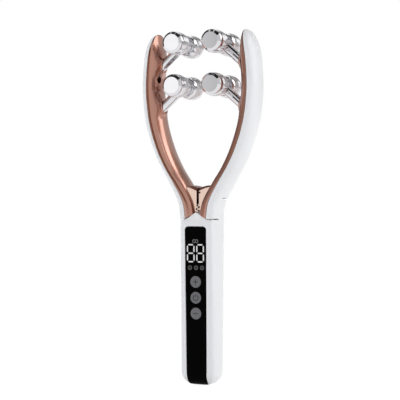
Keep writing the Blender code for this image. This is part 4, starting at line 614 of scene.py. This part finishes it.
# The upper lamp is flat, so it takes the depth that the panel has a little above its middle.
UPPER_SEAT_HEIGHT = UPPER_LAMP_HEIGHT + 0.0003
# Milky polycarbonate light guides, lit white from behind: even, with cloudy spots 1.4 mm wide.
lit, tree, shader = new_material("lit_display_segments", {
    "Base Color": linear("303030"), "Roughness": 0.3, "Emission Strength": 0.8})
mottled(tree, shader.inputs["Emission Color"], "d8d8d8", "f2f2f2", 700.0)
# The same light guides with their lamps turned low, so the mode signs look grey.
dim = lit.copy()
dim.name = "dim_display_lamps"
dim.node_tree.nodes["Principled BSDF"].inputs["Emission Strength"].default_value = 0.14


def bar(centre_x, centre_z, length, thick, upright, near_y, far_y):
    """One bar of a digit, with pointed ends."""
    a, b = length / 2, thick / 2
    outline = [(-a, 0), (-a + b, -b), (a - b, -b), (a, 0), (a - b, b), (-a + b, b)]
    if upright:
        outline = [(z, x) for x, z in outline]
    return plate("bar", [(centre_x + x, centre_z + z) for x, z in outline], near_y, far_y)


def sign_span(z):
    """Front and back of a lit sign at a height, just proud of the handle's front."""
    front_y = -half_depth(z) - SIGN_LIFT
    return front_y - SIGN_RELIEF, front_y + SIGN_LIFT


digit_parts = []
for digit_x in DIGIT_PLACES:
    for level, upright, offsets in DIGIT_BARS:
        for offset in offsets:
            digit_parts.append(bar(digit_x + offset, level, STANDING_BAR if upright else LYING_BAR,
                                   BAR_WIDTH, upright, *sign_span(level)))
finish_piece(joined("display_digits", digit_parts), lit, "handle", [])
lamp_parts = []
near, far = sign_span(MODE_HEIGHT)
for lamp_x in MODE_LAMPS:
    lamp_parts.append(ring("lamp", (lamp_x, MODE_HEIGHT), MODE_OUTER, MODE_INNER, near, far))
    lamp_parts.append(box_between("mark", (lamp_x - MARK_HALF_WIDTH, near, MODE_HEIGHT - MARK_LOW),
                                  (lamp_x + MARK_HALF_WIDTH, far, MODE_HEIGHT + MARK_HIGH)))
near, far = sign_span(UPPER_SEAT_HEIGHT)
for lamp_x in UPPER_LAMP_X:
    lamp_parts.append(ring("lamp", (lamp_x, UPPER_LAMP_HEIGHT), UPPER_OUTER, UPPER_INNER, near, far))
finish_piece(joined("display_lamps", lamp_parts), dim, "handle", [])

# Charging opening: a slot with round ends through the back of the rear shell, moulded with it.
# It is a little wider than the steel socket behind it, which comes from the CAD.
SLOT_MIDDLE, SLOT_SIZE, SLOT_ROUNDING = (0, 0.0075, 0.0175), (0.0098, 0.006, 0.0040), 0.0018
bpy.ops.mesh.primitive_cube_add(size=1, location=SLOT_MIDDLE, scale=SLOT_SIZE)
slot_tool = bpy.context.object
bpy.ops.object.transform_apply(location=True, rotation=True, scale=True)
apply_modifier(slot_tool, 'BEVEL', width=SLOT_ROUNDING, segments=6)
cut_with(rear_shell, slot_tool)
round_edges(rear_shell, REAR_ROUNDING)
finish_piece(rear_shell, white_abs, "handle", ["rear_housing"])

# Arms: a white outer cover of the same gloss ABS and an inner cover with rose gold plating on ABS.
# The two halves snap together at a fine seam; the inner one swells to pads round the two stems.
# Both are cut at the root along the line that the handle's edge draws while the arm swings open.
ARM_HALF_DEPTH = 0.0098
ARM_TOP, ARM_ROOT = SHOULDER + ARM_LENGTH, 0.0970
TIP_LENGTH, TIP_SHARE, TIP_POWER = 0.0140, 0.86, 2.3
ROUND_FROM, ROOT_POWER, UPPER_POWER = 0.1270, 4.0, 2.35
OUTER_WIDTH, INNER_WIDTH = 0.0046, 0.0056
TAPER_LENGTH, TAPER_POWER, TIP_WIDTH_SHARE = 0.0200, 1.5, 0.25
HALF_SEAM, COVER_WALL = 0.00015, 0.0012
OUTER_GRID, INNER_GRID = (40, 110), (48, 150)
OPENING, SWING_ROOM = math.radians(7), 0.00006
BELOW_FRONT, BELOW_REAR = 0.090, 0.080
# Front and back of the plates that cut the root, and how far each next one of three is set forward.
FRONT_TRIM, FRONT_TRIM_STEPS = (-0.014, 0.014), (0, 0.0007)
REAR_TRIM, REAR_TRIM_STEPS = (PARTING_Y - SEAM, 0.016), (0.0001, 0)
PIVOT_X, PIVOT_Z = 0.0056, 0.1050
AXLE_X, AXLE_Z, STEM_SPACING, STEM_SLANT = 0.0127, 0.2038, 0.0254, math.radians(41)
PAD_ALONG, PAD_RISE, PAD_REACH = 0.0180, 0.0016, 0.0085
STEM_HOLE_RADIUS, HOLE_START, HOLE_END = 0.0032, 0.012, 0.0197
SCREW_HOLE_RADIUS, SCREW_HOLE_LENGTH, SCREW_HOLE_Y, SCREW_HOLE_Z = 0.0020, 0.008, -0.0033, 0.1832


def stem_height(level, along):
    """Height of a point on a stem's axis, measured from its hub; level 0 is the upper stem."""
    return AXLE_Z - STEM_SPACING * level - along * math.sin(STEM_SLANT)


def stem_point(side, level, along):
    """A point on a stem's axis, measured from its hub."""
    return Vector((side * (AXLE_X + along * math.cos(STEM_SLANT)), 0, stem_height(level, along)))


def arm_power(z):
    """How boxy an arm's cross-section is at a height: most at its root."""
    share = min(max((z - SHOULDER) / (ROUND_FROM - SHOULDER), 0), 1)
    return ROOT_POWER + (UPPER_POWER - ROOT_POWER) * share


def inner_width(z):
    """Width of the inner cover at a height; it thins out towards the arm's tip."""
    share = min(max((z - ARM_TOP + TAPER_LENGTH) / TAPER_LENGTH, 0), 1)
    return INNER_WIDTH * (TIP_WIDTH_SHARE + (1 - TIP_WIDTH_SHARE) * (1 - share ** 2) ** TAPER_POWER)


def pad_rise(y, z):
    """How far the pads round the two stems swell at a place in depth and height."""
    rise = 0
    for level in (0, 1):
        apart = abs(z - stem_height(level, PAD_ALONG)) / PAD_REACH
        rise += PAD_RISE * (1 - min(apart, 1) ** 2) ** 2
    return rise * (1 - min(abs(y) / PAD_REACH, 1) ** 2) ** 2


def arm_place(side, outward):
    """Gives the place of every point of half an arm, from its root to its tip."""
    def place(u, v):
        tip_start = ARM_TOP - TIP_LENGTH
        if v < TIP_SHARE:
            tip = 0
            z = ARM_ROOT + (tip_start - ARM_ROOT) * v / TIP_SHARE
        else:
            tip = math.sin((v - TIP_SHARE) / (1 - TIP_SHARE) * math.pi / 2)
            z = tip_start + TIP_LENGTH * tip
        shrink = max(1 - tip ** TIP_POWER, 0) ** (1 / TIP_POWER)
        width = OUTER_WIDTH if outward > 0 else inner_width(z)
        x, y = rounded(width * shrink, ARM_HALF_DEPTH * shrink, abs(u - 0.5) * math.pi, arm_power(z))
        y = -y if u < 0.5 else y
        if outward < 0:
            x += pad_rise(y, z)
        return Vector((side * (arm_centre(z) + outward * (HALF_SEAM + x)), y, z))
    return place


def inner_face(y, z):
    """Distance of an arm's inner face from the centre plane at a place in depth and height."""
    reach = inner_width(z) * (1 - (abs(y) / ARM_HALF_DEPTH) ** arm_power(z)) ** (1 / arm_power(z))
    return arm_centre(z) - HALF_SEAM - reach - pad_rise(y, z)


def swung(line, angle):
    """The line of a handle's edge after the arm has opened by an angle, as the arm sees it."""
    points = []
    for x, z in line:
        dx, dz = x - PIVOT_X, z - PIVOT_Z + SWING_ROOM
        points.append((PIVOT_X + dx * math.cos(angle) - dz * math.sin(angle),
                       PIVOT_Z + dx * math.sin(angle) + dz * math.cos(angle)))
    return points


def trim_root(cover, side, line, bottom, reach, steps):
    """Cuts off what is under a handle's edge with the arm shut, half open and open.

    The steps keep the ends of the three cuts out of one plane.
    """
    for number, edge in enumerate((line, swung(line, OPENING / 2), swung(line, OPENING))):
        outline = [(side * x, z) for x, z in edge]
        outline += [(side * edge[-1][0], bottom), (side * edge[0][0], bottom)]
        near_y, far_y = (y - number * step for y, step in zip(reach, steps))
        cut_with(cover, plate("keepout", outline, near_y, far_y))


# ABS with vacuum plating in rose gold under a clear lacquer: a warm mirror, a little hazy.
# The haze and the tint waver in clouds 14 mm wide, and the lacquer adds the sharp pale streaks.
rose_gold, tree, shader = new_material("rose_gold_plated_abs", {
    "Metallic": 1.0, "Coat Weight": 1.0, "Coat IOR": 2.25, "Coat Roughness": 0.06})
haze = mottled(tree, shader.inputs["Base Color"], "ba7355", "c37e61", 70.0, 3.0)
polish = add_node(tree, "ShaderNodeMapRange", {3: 0.27, 4: 0.33}, {0: haze.outputs["Fac"]})
tree.links.new(polish.outputs[0], shader.inputs["Roughness"])

FRONT_LINE = edge_line(SEAM)
REAR_LINE = [(-CUT_REACH, REAR_TOP + SEAM), (CUT_REACH, REAR_TOP + SEAM)]
for side, side_name in ((-1, "left"), (1, "right")):
    outer = lofted(side_name + "_outer_shell", OUTER_GRID, arm_place(side, 1))
    inner = lofted(side_name + "_inner_shell", INNER_GRID, arm_place(side, -1))
    for cover in (outer, inner):
        apply_modifier(cover, 'SOLIDIFY', thickness=COVER_WALL, offset=-1)
        trim_root(cover, side, FRONT_LINE, BELOW_FRONT, FRONT_TRIM, FRONT_TRIM_STEPS)
        trim_root(cover, side, REAR_LINE, BELOW_REAR, REAR_TRIM, REAR_TRIM_STEPS)
    for level in (0, 1):
        start, end = stem_point(side, level, HOLE_START), stem_point(side, level, HOLE_END)
        bpy.ops.mesh.primitive_cylinder_add(vertices=48, radius=STEM_HOLE_RADIUS, depth=(end - start).length,
                                            location=(start + end) / 2)
        hole = bpy.context.object
        hole.rotation_mode = 'QUATERNION'
        hole.rotation_quaternion = (end - start).to_track_quat('Z', 'Y')
        cut_with(inner, hole)
    screw_hole_x = side * (arm_centre(SCREW_HOLE_Z) - INNER_WIDTH)
    bpy.ops.mesh.primitive_cylinder_add(vertices=40, radius=SCREW_HOLE_RADIUS, depth=SCREW_HOLE_LENGTH,
                                        rotation=(0, math.radians(90), 0),
                                        location=(screw_hole_x, SCREW_HOLE_Y, SCREW_HOLE_Z))
    cut_with(inner, bpy.context.object)
    finish_piece(outer, white_abs, side_name + "_arm", [side_name + "_outer_cover"])
    finish_piece(inner, rose_gold, side_name + "_arm", [side_name + "_inner_cover"])

# Beads round the stems' feet: a thin raised ring on each pad, moulded and plated with the inner cover.
# They follow the pad's curved face and hide the edge of the stem's hole.
BEAD_THICKNESS, BEAD_HALF_WIDTH, BEAD_HALF_HEIGHT = 0.0005, 0.0037, 0.0047
BEAD_ALONG, BEAD_POINTS = 0.0175, 64
for side, side_name in ((-1, "left"), (1, "right")):
    for level, level_name in ((0, "upper"), (1, "lower")):
        curve = bpy.data.curves.new(side_name + "_stem_bead", 'CURVE')
        curve.dimensions = '3D'
        curve.bevel_depth = BEAD_THICKNESS
        curve.bevel_resolution = 4
        loop = curve.splines.new('POLY')
        loop.points.add(BEAD_POINTS - 1)
        loop.use_cyclic_u = True
        for number, point in enumerate(loop.points):
            turn = 2 * math.pi * number / BEAD_POINTS
            face_y = BEAD_HALF_WIDTH * math.cos(turn)
            face_z = stem_height(level, BEAD_ALONG) + BEAD_HALF_HEIGHT * math.sin(turn)
            point.co = (side * inner_face(face_y, face_z), face_y, face_z, 1)
        placed(curve.name + "_" + level_name, curve)
        bpy.ops.object.convert(target='MESH')
        finish_piece(bpy.context.object, rose_gold, side_name + "_arm", [])

# Hinge gears: die-cast zinc, one on each arm, with the front plates polished and plated in rose gold. Faces
# that look to the front get a paler tint, which is a painted reflection, and all other faces a dark tint,
# which is painted shade.
# Their teeth mesh on the centre line, so that both arms open together.
CAST_MERGE, CAST_FLATNESS = 0.000005, math.radians(1)
POLISHED_ROUGHNESS = (0.04, 0.07)


def recoloured(name, dark, light, coat):
    """A copy of the rose gold in two other shades, with its lacquer's weight."""
    copy = rose_gold.copy()
    copy.name = name
    for node in copy.node_tree.nodes:
        if node.bl_idname == "ShaderNodeMix":
            node.inputs[6].default_value = linear(dark)
            node.inputs[7].default_value = linear(light)
    copy.node_tree.nodes["Principled BSDF"].inputs["Coat Weight"].default_value = coat
    return copy


# Polished zinc with rose gold plating and no lacquer: a clear, bright mirror. Its pale tint is a painted
# reflection of the bright light in front.
front_lit_gold = recoloured("rose_gold_zinc_painted_reflection", "ccb2a4", "d4bcae", 0)
for node in front_lit_gold.node_tree.nodes:
    if node.bl_idname == "ShaderNodeMapRange":
        node.inputs[3].default_value, node.inputs[4].default_value = POLISHED_ROUGHNESS
# The same casting on every face that doesn't look to the front: plated over the rough cast skin, so it stays
# dull. Its dark tint is painted shade.
shaded_gear_gold = recoloured("dull_rose_gold_zinc_painted_shade", "6e4238", "7c4e42", 0.1)

for side_name in ("left", "right"):
    cast = frame["nodes"][side_name + "_hinge_gear"]
    gear = placed(side_name + "_cast_gear", cast.data.copy())
    bpy.ops.object.mode_set(mode='EDIT')
    bpy.ops.mesh.select_all(action='SELECT')
    bpy.ops.mesh.remove_doubles(threshold=CAST_MERGE)
    bpy.ops.mesh.dissolve_limited(angle_limit=CAST_FLATNESS)
    bpy.ops.object.mode_set(mode='OBJECT')
    finish_piece(gear, front_lit_gold, side_name + "_arm", [side_name + "_hinge_gear"])
    # Faces that don't look straight to the front take the dark copy: painted shade in the teeth and slots.
    gear.data.materials.append(shaded_gear_gold)
    for polygon in gear.data.polygons:
        if polygon.normal.y > FRONT_NORMAL:
            polygon.material_index = 1

# Stems: turned and polished steel with a nickel-chrome plating, each with a hub across its upper end.
# The axle runs through the hub, and the thinner lower end is held by a nut inside the arm's inner cover.
STEM_PROFILE = ((0, 0), (0, 0.0029), (0.0194, 0.0029), (0.0194, 0.0015), (0.0234, 0.0015), (0.0234, 0))
HUB_PROFILE = ((-0.0030, 0), (-0.0030, 0.0036), (-0.0028, 0.0039), (-0.0025, 0.0041), (0.0025, 0.0041),
               (0.0028, 0.0039), (0.0030, 0.0036), (0.0030, 0))
AXLE_BORE, BORE_LENGTH = 0.0018, 0.03
DEPTH_AXIS = Vector((0, 1, 0))
TURNED_MERGE = 0.000005
# Bright nickel-chrome plating over polished steel: a cool mirror, with wiping smears 4 mm wide.
chrome, tree, shader = new_material("polished_chrome_plating", {
    "Metallic": 1.0, "Base Color": linear("dddcdf")})
smear = add_node(tree, "ShaderNodeTexNoise", {"Scale": 260.0, "Detail": 2.0},
                 {"Vector": add_node(tree, "ShaderNodeTexCoord").outputs["Object"]})
polish = add_node(tree, "ShaderNodeMapRange", {3: 0.03, 4: 0.07}, {0: smear.outputs["Fac"]})
tree.links.new(polish.outputs[0], shader.inputs["Roughness"])


def spun(name, profile, centre, axis, steps=64):
    """A turned piece: its profile of (along, radius) is spun round the axis."""
    axis = axis.normalized()
    across = axis.orthogonal().normalized()
    mesh = bpy.data.meshes.new(name)
    points = [centre + axis * along + across * radius for along, radius in profile]
    mesh.from_pydata(points, [(index, index + 1) for index in range(len(points) - 1)], [])
    piece = placed(name, mesh)
    bpy.ops.object.mode_set(mode='EDIT')
    bpy.ops.mesh.select_all(action='SELECT')
    bpy.ops.mesh.spin(steps=steps, angle=2 * math.pi, center=centre, axis=axis)
    bpy.ops.object.mode_set(mode='OBJECT')
    merge_and_turn_out(TURNED_MERGE)
    return piece


STEMS = [(side, side_name + "_arm", level, side_name + "_" + level_name)
         for side, side_name in ((-1, "left"), (1, "right"))
         for level, level_name in ((0, "upper"), (1, "lower"))]
for side, arm_name, level, label in STEMS:
    hub = stem_point(side, level, 0)
    stem = spun(label + "_polished_stem", STEM_PROFILE, hub, stem_point(side, level, 1) - hub)
    cut_with(stem, spun("hub", HUB_PROFILE, hub, DEPTH_AXIS), 'UNION')
    cut_with(stem, front_cylinder("axle_bore", AXLE_BORE, BORE_LENGTH, hub, sides=40))
    finish_piece(stem, chrome, arm_name, [label + "_stem"])

# Rollers: hollow barrels, plated as the stems are, with a smooth rounded rim and a band of small raised dots.
# Two share each axle, one in front of the hub and one behind it, and each turns on its own.
BORE_FACE = ((0.0149, 0), (0.0149, 0.0018), (0.0033, 0.0018), (0.0033, 0.0052), (0.0034, 0.0056),
             (0.0037, 0.0059), (0.0043, 0.0062))
RIM = ((0.0130, 0.00688), (0.0138, 0.0068), (0.0145, 0.00662), (0.0149, 0.0064), (0.01515, 0.0061),
       (0.0162, 0.00505), (0.0163, 0.0049), (0.0163, 0))
BAND_START, BAND_LENGTH, BAND_RADIUS, BAND_CROWN = 0.0043, 0.0060, 0.0064, 0.0005
# The dots stand in rows, each dot a face of the band that is inset and raised.
FIRST_ROW, ROW_WIDTH, DOT_ROWS, DOTS_ROUND = 0.0052, 0.0007, 10, 56
DOT_STEP = ((0.00015, 0.00010),)
BAND = [FIRST_ROW + ROW_WIDTH * row for row in range(DOT_ROWS + 1)]
band_profile = tuple((along, BAND_RADIUS + BAND_CROWN * math.sin(
    min((along - BAND_START) / BAND_LENGTH, 1) * math.pi / 2)) for along in BAND)
barrel_profile = BORE_FACE + band_profile + RIM


def on_band(polygon, hub):
    """Whether a roller's face is one of its band's, which get the dots."""
    from_axis = math.hypot(polygon.center.x - hub.x, polygon.center.z - hub.z)
    return BAND[0] < abs(polygon.center.y) < BAND[-1] and from_axis > BORE_FACE[-1][1]


for side, arm_name, level, label in STEMS:
    hub = stem_point(side, level, 0)
    for facing, place_name in ((-1, "_front"), (1, "_rear")):
        barrel = spun(label + place_name + "_barrel", barrel_profile, hub, DEPTH_AXIS * facing, DOTS_ROUND)
        inset_faces(barrel, lambda polygon: on_band(polygon, hub), DOT_STEP, one_by_one=True)
        roller = label + place_name + "_roller"
        finish_piece(barrel, chrome, roller, [roller], angle=15)

# Inner works: screws, pins, springs, boards, battery and motor, made in the CAD and seen only through gaps.
# They keep their CAD shapes and get plain finishes: bright zinc on steel, brass strip, green solder mask,
# black moulded nylon, and the grey foil of a battery pouch, each a little mottled in spots 2 mm wide.
INNER_FINISHES = {"zinc_plated_steel": ("8f9298", "a3a6ab", 1.0, 0.34),
                  "brass_strip": ("c29a4a", "d1ab5c", 1.0, 0.3),
                  "circuit_board": ("10502a", "17603a", 0.0, 0.45),
                  "dark_moulded_plastic": ("18181a", "222225", 0.0, 0.5),
                  "battery_foil": ("9a9da3", "b2b5ba", 0.9, 0.4)}
inner_materials = {}
for slot_name, (dark, light, metallic, roughness) in INNER_FINISHES.items():
    finish, tree, shader = new_material(slot_name + "_finish", {"Metallic": metallic, "Roughness": roughness})
    mottled(tree, shader.inputs["Base Color"], dark, light, 500.0)
    inner_materials[slot_name] = finish
node_slots = {entry["node"]: entry["material_slot"] for entry in frame["record"]["subparts"]}
for node_name, node in frame["nodes"].items():
    if node_slots[node_name] in inner_materials:
        node.data.materials.clear()
        node.data.materials.append(inner_materials[node_slots[node_name]])
